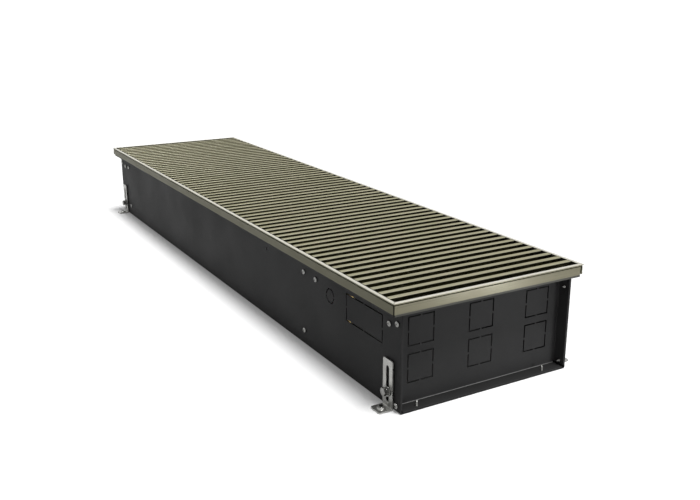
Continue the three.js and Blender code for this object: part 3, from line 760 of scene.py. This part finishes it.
def end_plate_shape():
    """The end plate at the near end: a recessed face with flanges bent outward and a hooked top."""
    half = SHEET / 2
    floor = END_PLATE.z0 + half
    side = NEAR_BRACKET.y1 - half
    upstand = END_PLATE.x1 - half
    flange_end = TROUGH.x1 - FIT
    relief = BEND + SHEET + FIT
    line = [(flange_end, floor), (PLATE_FACE, floor), (PLATE_FACE, LEDGE_TOP - half)]
    line += [(upstand, LEDGE_TOP - half), (upstand, TROUGH.z1)]
    flat = folded([(flange_end, -side), (PLATE_FACE, -side), (PLATE_FACE, side), (flange_end, side)])
    plate = join(
        prism(folded(line), "y", -side + relief, side - relief),
        prism(flat, "z", floor + relief, LEDGE_UNDER - relief),
        block((upstand - half, END_PLATE.y0, LEDGE_UNDER + FIT), (upstand + half, END_PLATE.y1, TROUGH.z1)),
    )
    through = (PLATE_FACE - SHEET, PLATE_FACE + SHEET)
    cutters = cross_bores(SCREW_HOLE, PLATE_SCREW.x, screw_levels("end_plate_screw"))
    for column in (-1, 0, 1):
        for z in (LOWER_ROW, LEDGE_UNDER - UPPER_ROW_DROP):
            y = column * KNOCK_OUT_PITCH
            cutters += rectangular_slots(KNOCK_OUT, KNOCK_OUT, y, z, "x", *through)
    return cut(plate, cutters)


def dress_end_plates():
    plate = end_plate_shape()
    for end, turn, out in (("near", 0, 1), ("far", 180, -1)):
        # the end plates get the lighter copy of the coat, painted light
        made = dress("end_plate_" + end, turned(plate, "Z", turn), END_LIT_COAT)
        for finish, chosen in (
            # painted shade on the walls of the knock-out slots and holes
            (SLOT_SHADE_COAT, lambda way, place: abs(abs(place.x) - PLATE_FACE) < CLOSE and abs(way.x) < ACROSS),
            # painted shade on the end plate's inner face and on the top of its bottom flange
            (INNER_SHADE_COAT, lambda way, place: out * way.x < -LEANING and abs(place.x) < PLATE_FACE),
            (INNER_SHADE_COAT, lambda way, place: way.z > FACING and place.z < BEND_TOP),
            # painted highlight along the bottom bend
            (BEND_HIGHLIGHT_COAT, lambda way, place: abs(way.x) > LEANING and way.z > LEANING and place.z < BEND_TOP),
            # painted light on the band along the upturned edge
            (BAND_LIGHT_COAT, lambda way, place: out * way.x > LEANING and abs(place.x) > BAND_START),
        ):
            paint(made, finish, chosen)


# ---- Frame profiles ----

LIP_WIDTH = 4.8
LIP_THICKNESS = 1.6
NOSE_HEIGHT = 2.3
NOSE_RADIUS = 0.9  # of the lip's outer edge
GROOVE_DEPTH = 1.45  # under the nose
GROOVE_HEIGHT = 1.0
FASCIA_SETBACK = 0.25
FASCIA_THICKNESS = 1.35
INNER_LEG = 1.4
INNER_LEG_DEPTH = 6
LONG_SLITS = (1.2, 1.2)  # from the frame's corners to the ends of the fascia
END_SLITS = (1.4, 4.9)
LEG_END = 0.9  # from the lip's inner corner to the end of the inner leg
MITRE_GAP = 0.05


def profile_shape(length, outer, slits):
    """One length of the frame along X, with its outer face at +Y, mitred lips and shortened fascias."""
    half = length / 2
    top = FRAME_TOP
    under = top - LIP_THICKNESS
    low = LONG_PROFILE.z0
    nose = top - NOSE_HEIGHT
    face = outer - FASCIA_SETBACK
    inner = outer - LIP_WIDTH
    leg = inner + INNER_LEG
    corners = [
        (inner, top, 0.5),
        (inner, under - INNER_LEG_DEPTH, 0.3),
        (leg, under - INNER_LEG_DEPTH, 0.3),
        (leg, under, 0.4),
        (face - FASCIA_THICKNESS, under, 0.4),
        (face - FASCIA_THICKNESS, low, 0.25),
        (face, low, 0.35),
        (face, nose - GROOVE_HEIGHT, 0.2),
        (outer - GROOVE_DEPTH, nose - GROOVE_HEIGHT, 0.15),
        (outer - GROOVE_DEPTH, nose, 0.15),
        (outer, nose, 0.3),
        (outer, top, NOSE_RADIUS),
    ]
    cutters = []
    for end, slit in zip((1, -1), slits):
        tip = half - MITRE_GAP
        beyond = end * (half + 1)
        front = outer + MITRE_GAP
        back = front - 2 * LIP_WIDTH
        mitre = [(end * tip, front), (end * (tip - 2 * LIP_WIDTH), back), (beyond, back), (beyond, front)]
        cutters.append(prism(mitre, "z", under - 0.01, top + 1))
        for inside, outside, stop in (
            (leg + FIT, outer + 1, half - slit),
            (inner - 1, leg + FIT, half - LIP_WIDTH - LEG_END),
        ):
            x0, x1 = sorted((end * stop, beyond))
            cutters.append(block((x0, inside, low - 1), (x1, outside, under)))
    return cut_in_turn(prism(rounded(corners, steps=6), "x", -half, half), cutters)


LIP_LEAN = 0.35


def dress_frame():
    nose = FRAME_TOP - NOSE_HEIGHT

    # The lip's upward faces, which get painted light.
    def lit_lip_top(way, place):
        return way.z > LIP_LEAN and place.z > nose

    # The groove under the nose and the front profile's cut ends, which get painted shade.
    def in_shade(way, place):
        groove = nose - GROOVE_HEIGHT - CLOSE < place.z < nose + CLOSE / 2
        cut_end = abs(way.x) > FACING and place.y < 3 - LONG_PROFILE.y1 and place.z < nose
        return groove or cut_end

    long = profile_shape(LONG_PROFILE.x1 - LONG_PROFILE.x0, LONG_PROFILE.y1, LONG_SLITS)
    short = profile_shape(END_PROFILE.y1 - END_PROFILE.y0, END_PROFILE.x1, END_SLITS)
    for node, shape, turn, metal, lip in (
        # the long profiles carry the painted shade copy of the anodising
        ("frame_long_rear", long, 0, FRAME_LONG_SHADED_METAL, LIP_LONG_LIT_METAL),
        ("frame_long_front", long, 180, FRAME_LONG_SHADED_METAL, LIP_LONG_LIT_METAL),
        ("frame_end_near", short, -90, FRAME_END_METAL, LIP_END_LIT_METAL),
        ("frame_end_far", short, 90, FRAME_END_METAL, LIP_END_LIT_METAL),
    ):
        made = dress(node, turned(shape, "Z", turn), metal)
        # painted light on the upward faces of the lip
        paint(made, lip, lit_lip_top)
        # painted shade in the groove and on the cut ends
        paint(made, GROOVE_SHADE_METAL, in_shade)


# ---- Grille ----

SLAT_PITCH = 19.28
SLAT_WIDTH = 7.8
SLAT_EDGE = 1.1  # thickness of the top flange at its edges
SLAT_FLANGE = 2.2  # and at the web
SLAT_WEB = 2.4
SLAT_FOOT_WIDTH = 5.6
SLAT_FOOT = 2.0
SPRING_INSET = 50
SPRING_DROP = 8.5
SPRING_RADIUS = 2.1
SPRING_WIRE = 1.0
SPRING_PITCH = 2.4
SPRING_HOLE = 3.2
SPRING_YS = (GRILLE.y0 + SPRING_INSET, GRILLE.y1 - SPRING_INSET)


def slat_shape():
    """One slat about X = 0: a profile with a broad top flange, a web bored for the springs, and a foot."""
    top = GRILLE.z1
    low = GRILLE.z0
    right = [
        (SLAT_FOOT_WIDTH / 2, low, 0.4),
        (SLAT_FOOT_WIDTH / 2, low + SLAT_FOOT, 0.6),
        (SLAT_WEB / 2, low + SLAT_FOOT, 0.6),
        (SLAT_WEB / 2, top - SLAT_FLANGE, 0.8),
        (SLAT_WIDTH / 2, top - SLAT_EDGE, 0.3),
        (SLAT_WIDTH / 2, top, 0.4),
    ]
    corners = right + [(-x, z, radius) for x, z, radius in reversed(right)]
    bar = prism(rounded(corners, steps=4), "y", GRILLE.y0, GRILLE.y1)
    holes = [bore(SPRING_HOLE, "x", y, top - SPRING_DROP, -SLAT_WIDTH, SLAT_WIDTH, 20) for y in SPRING_YS]
    return cut_in_turn(bar, holes)


def dress_grille():
    slat = slat_shape()
    count = round((GRILLE.x1 - GRILLE.x0 - SLAT_WIDTH) / SLAT_PITCH) + 1
    first = GRILLE.x - (count - 1) * SLAT_PITCH / 2
    slats = merge([moved(slat, x=first + i * SLAT_PITCH) for i in range(count)])
    under = GRILLE.z1 - SLAT_EDGE
    # painted shade on the webs and sides; the upward faces of the top flange get the slat colour
    made = dress("roll_up_grille", slats, WEB_SHADE_METAL)
    paint(made, SLAT_METAL, lambda way, place: way.z > LIP_LEAN and place.z > under)
    length = (count - 1) * SLAT_PITCH + SLAT_WEB
    spring = coil(length, SPRING_RADIUS, SPRING_WIRE, SPRING_PITCH)
    for wall, y in zip(WALLS, SPRING_YS):
        placed = moved(spring, y=y, z=GRILLE.z1 - SPRING_DROP)
        # the springs get the darker steel, painted shade
        make_piece("grille_spring_" + wall, placed, SPRING_SHADE_STEEL, "grille")


RIB_COUNT = 4
RIB_HEIGHT = 0.6
RIB_WIDTH = 0.72  # as a share of the ribs' pitch


def dress_rest_strips():
    """Rubber strips with ribs along the top."""
    rib = (STRIP.y1 - STRIP.y0) / RIB_COUNT
    reach = rib * RIB_WIDTH / 2
    valley = STRIP.z1 - RIB_HEIGHT
    top = []
    for i in range(RIB_COUNT):
        middle = STRIP.y1 - rib * (i + 0.5)
        top.append((middle + rib * 0.5, valley))
        for a in np.linspace(0, math.pi, 7):
            top.append((middle + reach * math.cos(a), valley + RIB_HEIGHT * math.sin(a)))
    outline = [(STRIP.y0, STRIP.z0), (STRIP.y1, STRIP.z0), *top, (STRIP.y0, valley)]
    strip = prism(outline, "x", STRIP.x0, STRIP.x1)
    dress("grille_rest_strip_rear", strip, RUBBER)
    dress("grille_rest_strip_front", turned(strip, "Z", 180), RUBBER)


# ---- Heat exchanger ----

FIN_PITCH = 6.0
FIN_THICKNESS = 0.3
TUBE_YS = (LOWER_TUBE.y0 + TUBE_RADIUS, LOWER_TUBE.y1 - TUBE_RADIUS)
TUBE_ZS = (LOWER_TUBE.z, UPPER_TUBE.z)
COLLAR_WALL = 0.4
HOLE_SIDES = 20


def dress_fins():
    """Thin fins with a collar round each tube that reaches to the next fin."""
    plate = prism(rectangle(FINS.y0, FINS.y1, FINS.z0, FINS.z1, 3, 4), "x", 0, FIN_THICKNESS)
    places = [(y, z) for y in TUBE_YS for z in TUBE_ZS]
    clear = TUBE_RADIUS + FIT
    fin = cut(plate, [bore(clear + COLLAR_WALL, "x", y, z, -1, 1, HOLE_SIDES) for y, z in places])
    profile = rectangle(clear, clear + COLLAR_WALL, 0, FIN_PITCH - FIT)
    collar = turned(lathe(profile, HOLE_SIDES, closed=True), "Y", 90)
    collars = [moved(collar, y=y, z=z) for y, z in places]
    count = int((FINS.x1 - FINS.x0 - FIN_PITCH) / FIN_PITCH) + 1
    first = FINS.x - count * FIN_PITCH / 2
    unit = merge([fin, *collars])
    dress("fin_pack", merge([moved(unit, x=first + i * FIN_PITCH) for i in range(count)]), FIN_SHEET)


def u_bend(start, bend, radius, place, across):
    """The path of a tube that comes back on itself, in the plane of X and the direction across."""
    outward = math.copysign(1, bend - start)
    angle = np.linspace(0, math.pi, 25)
    ahead = np.pad(bend + outward * radius * np.sin(angle), 1, constant_values=start)
    aside = np.pad(-radius * np.cos(angle), 1, mode="edge")
    return np.outer(ahead, (1, 0, 0)) + np.outer(aside, across) + (0, *place)


def dress_tubes():
    radius = (TUBE_YS[1] - TUBE_YS[0]) / 2
    bend_start = LOWER_TUBE.x0 + TUBE_RADIUS + radius
    for node, tube in (("hairpin_tube_lower", LOWER_TUBE), ("hairpin_tube_upper", UPPER_TUBE)):
        path = u_bend(tube.x1, bend_start, radius, (tube.y, tube.z), (0, 1, 0))
        dress(node, pipe(path, TUBE_RADIUS, TUBE_BORE, (0, 0, 1)), COPPER)
    radius = (TUBE_ZS[1] - TUBE_ZS[0]) / 2
    bend_start = RETURN_BEND.x1 - TUBE_RADIUS - radius
    path = u_bend(RETURN_BEND.x0, bend_start, radius, (RETURN_BEND.y, RETURN_BEND.z), (0, 0, 1))
    dress("return_bend", pipe(path, TUBE_RADIUS, TUBE_BORE, (0, 1, 0)), COPPER)


BRACKET_WINDOW_YS = (62, 92)
BRACKET_WINDOW_HALF = 11
BRACKET_WINDOW_ZS = (8, 38)  # above the bracket's middle


def dress_brackets():
    half = SHEET / 2
    for end, outward in (("near", 1), ("far", -1)):
        bracket = Box("exchanger_bracket_" + end)
        back, flange_end = (bracket.x0, bracket.x1)[::outward]
        face = back + outward * half
        side = bracket.y1 - half
        outline = folded([(flange_end, -side), (face, -side), (face, side), (flange_end, side)])
        span = (face - SHEET, face + SHEET)
        cutters = [bore(TUBE_RADIUS + 0.5, "x", y, z, *span) for y in TUBE_YS for z in TUBE_ZS]
        screw = Box(f"bracket_screw_{end}_rear_lower")
        cutters += cross_bores(SCREW_HOLE, screw.x, screw_levels("bracket_screw"))
        low, high = (bracket.z + z for z in BRACKET_WINDOW_ZS)
        for y in BRACKET_WINDOW_YS:
            window = rectangle(y - BRACKET_WINDOW_HALF, y + BRACKET_WINDOW_HALF, low, high, 4)
            cutters.append(prism(window, "x", *span))
        plate = cut(prism(outline, "z", bracket.z0, bracket.z1), cutters)
        # painted shade: the bracket gets the darker inner coat
        dress("exchanger_bracket_" + end, plate, INNER_SHADE_COAT)


def dress_guide():
    half = SHEET / 2
    near, far, middle = GUIDE.x1 - half, GUIDE.x0 + half, GUIDE.y1 - half
    outline = folded([(far, GUIDE.y0), (far, middle), (near, middle), (near, GUIDE.y0)])
    # painted shade: the guide gets the darker inner coat
    dress("air_guide_plate", prism(outline, "z", GUIDE.z0, GUIDE.z1), INNER_SHADE_COAT, 0.15)


# ---- Connectors and air vent ----

CONNECTOR_FLATS = 27
COLLAR_RADIUS = 10
COLLAR_LENGTH = 10
HEX_LENGTH = 12
MOUTH_RADIUS = 12.6
MOUTH_LENGTH = 8
THREAD_RADIUS = 9.3
THREAD_LENGTH = 15
THREAD_PITCH = 1.8
THREAD_INNER = THREAD_RADIUS - 0.9
VENT_FLATS = 10
VENT_BORE = 2.8
VENT_STEM = 2.4
VENT_SLOT = 0.5  # half of its width
VENT_SLOT_DEPTH = 1.2


def chamfered_hexagon(flats, low, high, chamfer, both=True):
    """A hexagon along Z with turned chamfers on its corners."""
    corner = flats / 2 / math.cos(math.pi / 6)
    below = chamfer if both else 0
    profile = [(0, low), (corner - 2 * below, low), (corner + 0.02, low + below)]
    profile += [(corner + 0.02, high - chamfer), (corner - 2 * chamfer, high), (0, high)]
    return boolean(prism(hexagon(flats), "z", low, high), lathe(profile, 48), "INTERSECT")


def connector_shape():
    hex_end = COLLAR_LENGTH + HEX_LENGTH
    end = hex_end + MOUTH_LENGTH
    chamfer = 0.6
    radius = COLLAR_RADIUS
    collar = lathe([(0, 0), (radius - chamfer, 0), (radius, chamfer), (radius, hex_end), (0, hex_end)], 40)
    radius = MOUTH_RADIUS
    neck = radius - 0.5
    mouth = [(0, hex_end - 1), (neck, hex_end - 1), (neck, hex_end + 1), (radius, hex_end + 1.5)]
    mouth += [(radius, end - chamfer), (radius - chamfer, end), (0, end)]
    body = join(collar, chamfered_hexagon(CONNECTOR_FLATS, COLLAR_LENGTH, hex_end, 1.1), lathe(mouth, 40))
    inside = [(0, -1), (TUBE_BORE, -1), (TUBE_BORE, end - THREAD_LENGTH)]
    turns = int((THREAD_LENGTH - 2) / THREAD_PITCH)
    for k in range(turns):
        z = end - THREAD_LENGTH + 0.4 + k * THREAD_PITCH
        inside += [(THREAD_INNER, z), (THREAD_RADIUS, z + THREAD_PITCH / 2)]
    inside += [(THREAD_INNER, end - 1.6), (THREAD_RADIUS + 0.6, end), (THREAD_RADIUS + 0.6, end + 1)]
    inside.append((0, end + 1))
    return boolean(body, lathe(inside, 40))


def dress_connectors():
    shape = turned(connector_shape(), "Y", 90)
    for node in ("connector_return", "connector_flow"):
        place = Box(node)
        dress(node, moved(shape, place.x0, place.y, place.z), BRASS)


def dress_vent():
    body = chamfered_hexagon(VENT_FLATS, VENT.z0, VENT.z1, 0.5)
    body = boolean(body, bore(VENT_BORE, "z", 0, 0, VENT_SCREW.z0 - FIT, VENT.z1 + 1))
    dress("air_vent_body", moved(body, VENT.x, VENT.y), BRASS)
    rim = VENT.z1 + FIT
    radius = (VENT_SCREW.x1 - VENT_SCREW.x0) / 2
    top = VENT_SCREW.z1
    low = VENT_SCREW.z0
    profile = [(0, low), (VENT_STEM - 0.4, low), (VENT_STEM, low + 0.5), (VENT_STEM, rim)]
    profile += [(radius - 0.3, rim), (radius, rim + 0.3), (radius, top - 0.5)]
    profile += [(radius - 0.5, top), (0, top)]
    slot = block((-radius - 1, -VENT_SLOT, top - VENT_SLOT_DEPTH), (radius + 1, VENT_SLOT, top + 1))
    screw = boolean(lathe(profile, 32), slot)
    dress("air_vent_screw", moved(screw, VENT_SCREW.x, VENT_SCREW.y), BRASS)


# ---- Fixings ----

SCREW_RADIUS = 2.0
HEAD_RADIUS = 4.0
HEAD_HEIGHT = 2.4
HEAD_RIM = 0.7
RECESS_FLOOR = 0.5
RECESS_REACH = (0.7, 2.3)  # from the screw's axis, at the recess's floor and above the head
RECESS_HALF = 0.42
SCREW_LENGTH = PLATE_SCREW.y1 - PLATE_SCREW.y0 - HEAD_HEIGHT
SCREW_PITCH = 1.1
POINT_LENGTH = 2.6

FLOOR_SCREW_INSET = 6.5
FLOOR_SCREW_YS = (-107.5, 99.5)
FLOOR_SCREW_LENGTH = 8.5
FLOOR_SCREW_POINT = 1.6


def pan_screw():
    """A pan-head screw with a cross recess, along +Y: the underside of its head is at the origin."""
    angles = np.linspace(0, math.pi / 2, 8)
    dome = [(HEAD_RADIUS * math.cos(a), HEAD_RIM + (HEAD_HEIGHT - HEAD_RIM) * math.sin(a)) for a in angles]
    dome[-1] = (0, HEAD_HEIGHT)
    head = lathe([(0, 0), (HEAD_RADIUS - 0.15, 0), *dome], 28)
    low, high = RECESS_REACH
    above = HEAD_HEIGHT + 1
    outline = [(-high, above), (-low, RECESS_FLOOR), (low, RECESS_FLOOR), (high, above)]
    blade = prism(outline, "y", -RECESS_HALF, RECESS_HALF)
    head = boolean(head, join(turned(blade, "Z", 0), turned(blade, "Z", 90)))
    shank = turned(thread(SCREW_RADIUS, SCREW_PITCH, SCREW_LENGTH, POINT_LENGTH), "X", 180)
    return turned(merge([head, shank]), "X", -90)


def on_wall(shape, x, z, wall):
    """A shape drawn at the rear wall, or turned round for the front one."""
    side = shape if wall == "rear" else turned(shape, "Z", 180)
    return moved(side, x=x, z=z)


def dress_screws():
    screw = moved(pan_screw(), y=WALL_OUTER + FIT)
    for stem in ("end_plate_screw", "bracket_screw"):
        for end in ENDS:
            for wall in WALLS:
                for level in LEVELS:
                    node = f"{stem}_{end}_{wall}_{level}"
                    place = Box(node)
                    dress(node, on_wall(screw, place.x, place.z, wall), SCREW_ZINC)
    for brace in BRACES:
        x = Box("cross_brace_" + brace).x
        for wall in WALLS:
            placed = on_wall(screw, x, BRACE_SCREW_LEVEL, wall)
            make_piece(f"brace_screw_{brace}_{wall}", placed, SCREW_ZINC, "casing")
    tip = moved(thread(SCREW_RADIUS, SCREW_PITCH, FLOOR_SCREW_LENGTH, FLOOR_SCREW_POINT), z=END_PLATE.z0)
    for end, side in zip(ENDS, (1, -1)):
        for k, y in enumerate(FLOOR_SCREW_YS):
            placed = moved(tip, x=side * (TROUGH.x1 - FLOOR_SCREW_INSET), y=side * y)
            make_piece(f"floor_screw_{end}_{'ab'[k]}", placed, SCREW_ZINC, "casing")


def dress_braces():
    """Upside-down channels across the trough, with a screwed tab at each wall."""
    half = SHEET / 2
    flange = BRACE_WIDTH / 2 - half
    for name in BRACES:
        brace = Box("cross_brace_" + name)
        top = brace.z1 - half
        low = brace.z1 - BRACE_FLANGE - SHEET
        tab = brace.y1 - half
        left, right = brace.x - flange, brace.x + flange
        channel_end = tab - 2 * (BEND + SHEET)
        channel = folded([(left, low), (left, top), (right, top), (right, low)])
        tabs = []
        for side in (-1, 1):
            bent = folded([(side * (channel_end - SHEET), top), (side * tab, top), (side * tab, brace.z0)])
            tabs.append(prism(bent, "x", brace.x - BRACE_WIDTH / 2, brace.x + BRACE_WIDTH / 2))
        shape = join(prism(channel, "y", -channel_end, channel_end), *tabs)
        shape = cut(shape, cross_bores(SCREW_HOLE, brace.x, [BRACE_SCREW_LEVEL]))
        # painted shade: the brace gets the darker inner coat
        dress("cross_brace_" + name, shape, INNER_SHADE_COAT)


# ---- Feet ----

FOOT_SHEET = 2.0
FOOT_CORNER = 3.0
FOOT_SLOT = (6.6, 8.5, 57.5)  # width, low end and high end
PAD_COLLAR = 5.8
PAD_COLLAR_HEIGHT = 2.2
BOLT_RADIUS = 3.0
BOLT_FLATS = 10
BOLT_PITCH = 1.0
BOLT_HEAD = 4.0
BOLT_SEAT = 0.5
WASHER_RADIUS = 7.5
SPRING_WASHER_RADIUS = 5.3
WASHER_BORE = 3.3
WASHER_SPLIT = 0.45  # half of its width
NUT_FLANGE_RADIUS = 6.5
NUT_FLANGE = 0.8
NUT_RADII = (4.3, 4.05)  # of its ribs and of the grooves between them
NUT_RIBS = 24
PAD_SCREW_RADIUS = 4.0
PAD_HOLE = PAD_SCREW_RADIUS + 0.1
PAD_SCREW_PITCH = 1.25
SOCKET_FLATS = 4.0
SOCKET_DEPTH = 2.5


def corner_waste(u, v, right, up, radius):
    """What a rounded corner leaves over. right and up say on which side of the sheet the corner lies."""
    start = 0 if right > 0 else math.pi
    arc = circle(radius, u - right * radius, v - up * radius, 7, start, right * up * math.pi / 2)
    far = (u + right, v + up)
    return [far, (u + right, v - up * radius), *arc, (u - right * radius, v + up)]


def foot_shape():
    """A foot at the rear wall about X = 0: an angle with a slot, and a pressed collar in its pad."""
    inner = FOOT.y0
    outer = inner + FOOT_SHEET
    width = (FOOT.x1 - FOOT.x0) / 2
    half = FOOT_SHEET / 2
    outline = folded([(inner + half, FOOT.z1), (inner + half, half), (FOOT.y1, half)], FOOT_SHEET)
    cutters = [prism(obround(*FOOT_SLOT), "y", inner - 1, outer + 1)]
    cutters.append(bore(PAD_HOLE, "z", 0, PAD_SCREW.y, -1, FOOT_SHEET + 1, 32))
    for side in (-1, 1):
        upper = corner_waste(side * width, FOOT.z1, side, 1, FOOT_CORNER)
        cutters.append(prism(upper, "y", inner - 1, outer + 1))
        pad = corner_waste(side * width, FOOT.y1, side, 1, FOOT_CORNER)
        cutters.append(prism(pad, "z", -1, FOOT_SHEET + 1))
    angle = cut_in_turn(prism(outline, "x", -width, width), cutters)
    top = FOOT_SHEET + PAD_COLLAR_HEIGHT
    root = PAD_COLLAR + 0.9
    profile = [(PAD_HOLE, half), (root, half), (root, FOOT_SHEET), (PAD_COLLAR + 0.25, FOOT_SHEET + 0.25)]
    profile += [(PAD_COLLAR, FOOT_SHEET + 0.9), (PAD_COLLAR - 0.05, top - 0.5), (PAD_COLLAR - 0.5, top)]
    profile += [(PAD_HOLE + 0.5, top), (PAD_HOLE, top - 0.5)]
    return join(angle, moved(lathe(profile, 32, closed=True), y=PAD_SCREW.y))


def clamp_bolt_shape():
    """A hexagon bolt along +Y about X = 0 and Z = 0."""
    under = CLAMP_BOLT.y1 - BOLT_HEAD
    head = chamfered_hexagon(BOLT_FLATS, under + 0.2, CLAMP_BOLT.y1, 0.55, both=False)
    seat = lathe(rectangle(0, BOLT_FLATS / 2 - 0.3, under, under + BOLT_SEAT), 32)
    length = under - CLAMP_BOLT.y0
    shank = moved(thread(BOLT_RADIUS, BOLT_PITCH, length), z=CLAMP_BOLT.y0)
    return merge([join(head, seat), shank])


def washer_shapes():
    """The flat washer, and the split spring washer over it."""
    flat = ring(WASHER_RADIUS, WASHER_BORE, WASHER.y0, WASHER.y1, 0.2)
    low = WASHER.y1 + 0.02
    high = CLAMP_BOLT.y1 - BOLT_HEAD
    spring = ring(SPRING_WASHER_RADIUS, WASHER_BORE, low, high)
    split = turned(block((2, -WASHER_SPLIT, low - 1), (7, WASHER_SPLIT, high + 1)), "X", 25)
    return flat, boolean(spring, split)


def rivet_nut_shape():
    """A ribbed rivet nut in the wall, with its flange outside."""
    start = RIVET_NUT.y1
    inner = BOLT_RADIUS + 0.1
    flange = ring(NUT_FLANGE_RADIUS, inner, start - NUT_FLANGE, start)
    rounds = [circle(radius, sides=2 * NUT_RIBS) for radius in NUT_RADII]
    ribs = [rounds[k % 2][k] for k in range(2 * NUT_RIBS)]
    barrel = prism(ribs, "z", RIVET_NUT.y0, start - NUT_FLANGE / 2)
    barrel = boolean(barrel, bore(inner, "z", 0, 0, RIVET_NUT.y0 - 1, start + 1, 32))
    return join(flange, barrel)


def pad_screw_shape():
    """A levelling screw with a hexagon socket."""
    length = PAD_SCREW.z1 - PAD_SCREW.z0
    rod = thread(PAD_SCREW_RADIUS, PAD_SCREW_PITCH, length, sides=28)
    socket = prism(hexagon(SOCKET_FLATS), "z", length - SOCKET_DEPTH, length + 1)
    return moved(boolean(rod, socket), y=PAD_SCREW.y, z=PAD_SCREW.z0)


def dress_feet():
    foot = foot_shape()
    flat, spring = washer_shapes()
    upright = [clamp_bolt_shape(), flat, spring, rivet_nut_shape()]
    bolt, flat, spring, nut = (turned(shape, "X", -90) for shape in upright)
    screw = pad_screw_shape()
    level = CLAMP_BOLT.z
    for end in ENDS:
        for wall in WALLS:
            tag = f"_{end}_{wall}"
            x = Box("foot_bracket" + tag).x
            dress("foot_bracket" + tag, on_wall(foot, x, 0, wall), FOOT_ZINC, 0.2)
            for stem, shape in (("foot_clamp_bolt", bolt), ("foot_washer", flat), ("foot_rivet_nut", nut)):
                dress(stem + tag, on_wall(shape, x, level, wall), SCREW_ZINC)
            dress("levelling_screw" + tag, on_wall(screw, x, 0, wall), SCREW_ZINC)
            body = frame["nodes"]["foot_washer" + tag]["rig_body"]
            make_piece("spring_washer" + tag, on_wall(spring, x, level, wall), SCREW_ZINC, body)


# ---- Camera, light and ground ----

CAMERA_PLACE = (1.3733, -0.6610, 0.4973)
CAMERA_TURN = (73.07, 0.0, 59.77)
LENS = 43.54
SENSOR = 36.0

KEY_FROM = (0.2, 0.06, 0.95)
KEY_LEVEL = 1.2  # of the light that shows a surface at its own colour
KEY_SPREAD = 18
CARD_PLACE = (0.94, 0.24, 0.03)  # a soft card near the floor, whose glow the near end shows
CARD_TARGET = (0.60, 0.0, 0.12)
CARD_WIDTH = 0.12
CARD_HEIGHT = 0.05
CARD_POWER = 0.35
AMBIENT = 0.15
FLOOR_SIZE = 120.0
FLOOR_DEPTHS = (-60, -0.3)
FLOOR_BOUNCE = 0.20  # the floor's colour in the light that it throws on the object
FLOOR_COLOUR = 0.75  # and as it is seen, where the rest of its white is a glow that keeps the shadow pale
FLOOR_GLOW = 0.17


def make_camera():
    camera = bpy.data.cameras.new("photo_camera")
    camera.lens = LENS
    camera.sensor_width = SENSOR
    camera.clip_end = 200
    turn = [math.radians(angle) for angle in CAMERA_TURN]
    bpy.context.scene.camera = put_in_scene("photo_camera", camera, CAMERA_PLACE, turn)


def shining_from(direction):
    """The turn of a lamp whose light comes from a direction."""
    return Vector(direction).to_track_quat("Z", "Y").to_euler()


def make_key():
    lamp = bpy.data.lights.new("key", "SUN")
    lamp.energy = KEY_LEVEL * math.pi
    lamp.angle = math.radians(KEY_SPREAD)
    put_in_scene("key", lamp, turn=shining_from(KEY_FROM))


def make_card():
    lamp = bpy.data.lights.new("card", "AREA")
    lamp.energy = CARD_POWER
    lamp.shape = "RECTANGLE"
    lamp.size = CARD_WIDTH
    lamp.size_y = CARD_HEIGHT
    turn = shining_from(Vector(CARD_PLACE) - Vector(CARD_TARGET))
    put_in_scene("card", lamp, CARD_PLACE, turn).visible_camera = False


def grey_mix(tree, plain, background):
    """One grey, and another for the rays that see the white background: those of the camera itself, and
    reflected and transmitted ones."""
    path = add_node(tree, "ShaderNodeLightPath", {}).outputs
    total = path["Is Camera Ray"]
    for name in ("Is Glossy Ray", "Is Transmission Ray"):
        inputs = {0: total, 1: path[name]}
        total = add_node(tree, "ShaderNodeMath", inputs, operation="ADD", use_clamp=True).outputs[0]
    greys = [(level, level, level, 1) for level in (plain, background)]
    inputs = {"A": greys[0], "B": greys[1], "Factor": total}
    return add_node(tree, "ShaderNodeMix", inputs, data_type="RGBA").outputs["Result"]


def make_world():
    world = bpy.data.worlds.new("studio")
    world.use_nodes = True
    tree = world.node_tree
    set_inputs(tree, tree.nodes["Background"], {"Color": grey_mix(tree, AMBIENT, 1.0)})
    bpy.context.scene.world = world


def make_floor():
    side = FLOOR_SIZE / 2 / MM
    low, high = FLOOR_DEPTHS
    floor = raw_object(block((-side, -side, low), (side, side, high)), "studio_floor")
    material = bpy.data.materials.new("pale_floor")
    material.use_nodes = True
    tree = material.node_tree
    inputs = {
        "Roughness": 1.0,
        "Specular IOR Level": 0.0,
        "Base Color": grey_mix(tree, FLOOR_BOUNCE, FLOOR_COLOUR),
        "Emission Color": grey_mix(tree, 0.0, FLOOR_GLOW),
        "Emission Strength": 1.0,
    }
    set_inputs(tree, tree.nodes["Principled BSDF"], inputs)
    floor.data.materials.append(material)


make_camera()
make_key()
make_card()
make_world()
make_floor()

dress_trough()
dress_end_plates()
dress_frame()
dress_grille()
dress_rest_strips()
dress_fins()
dress_tubes()
dress_brackets()
dress_guide()
dress_connectors()
dress_vent()
dress_braces()
dress_screws()
dress_feet()

bpy.context.scene.view_settings.view_transform = "Standard"
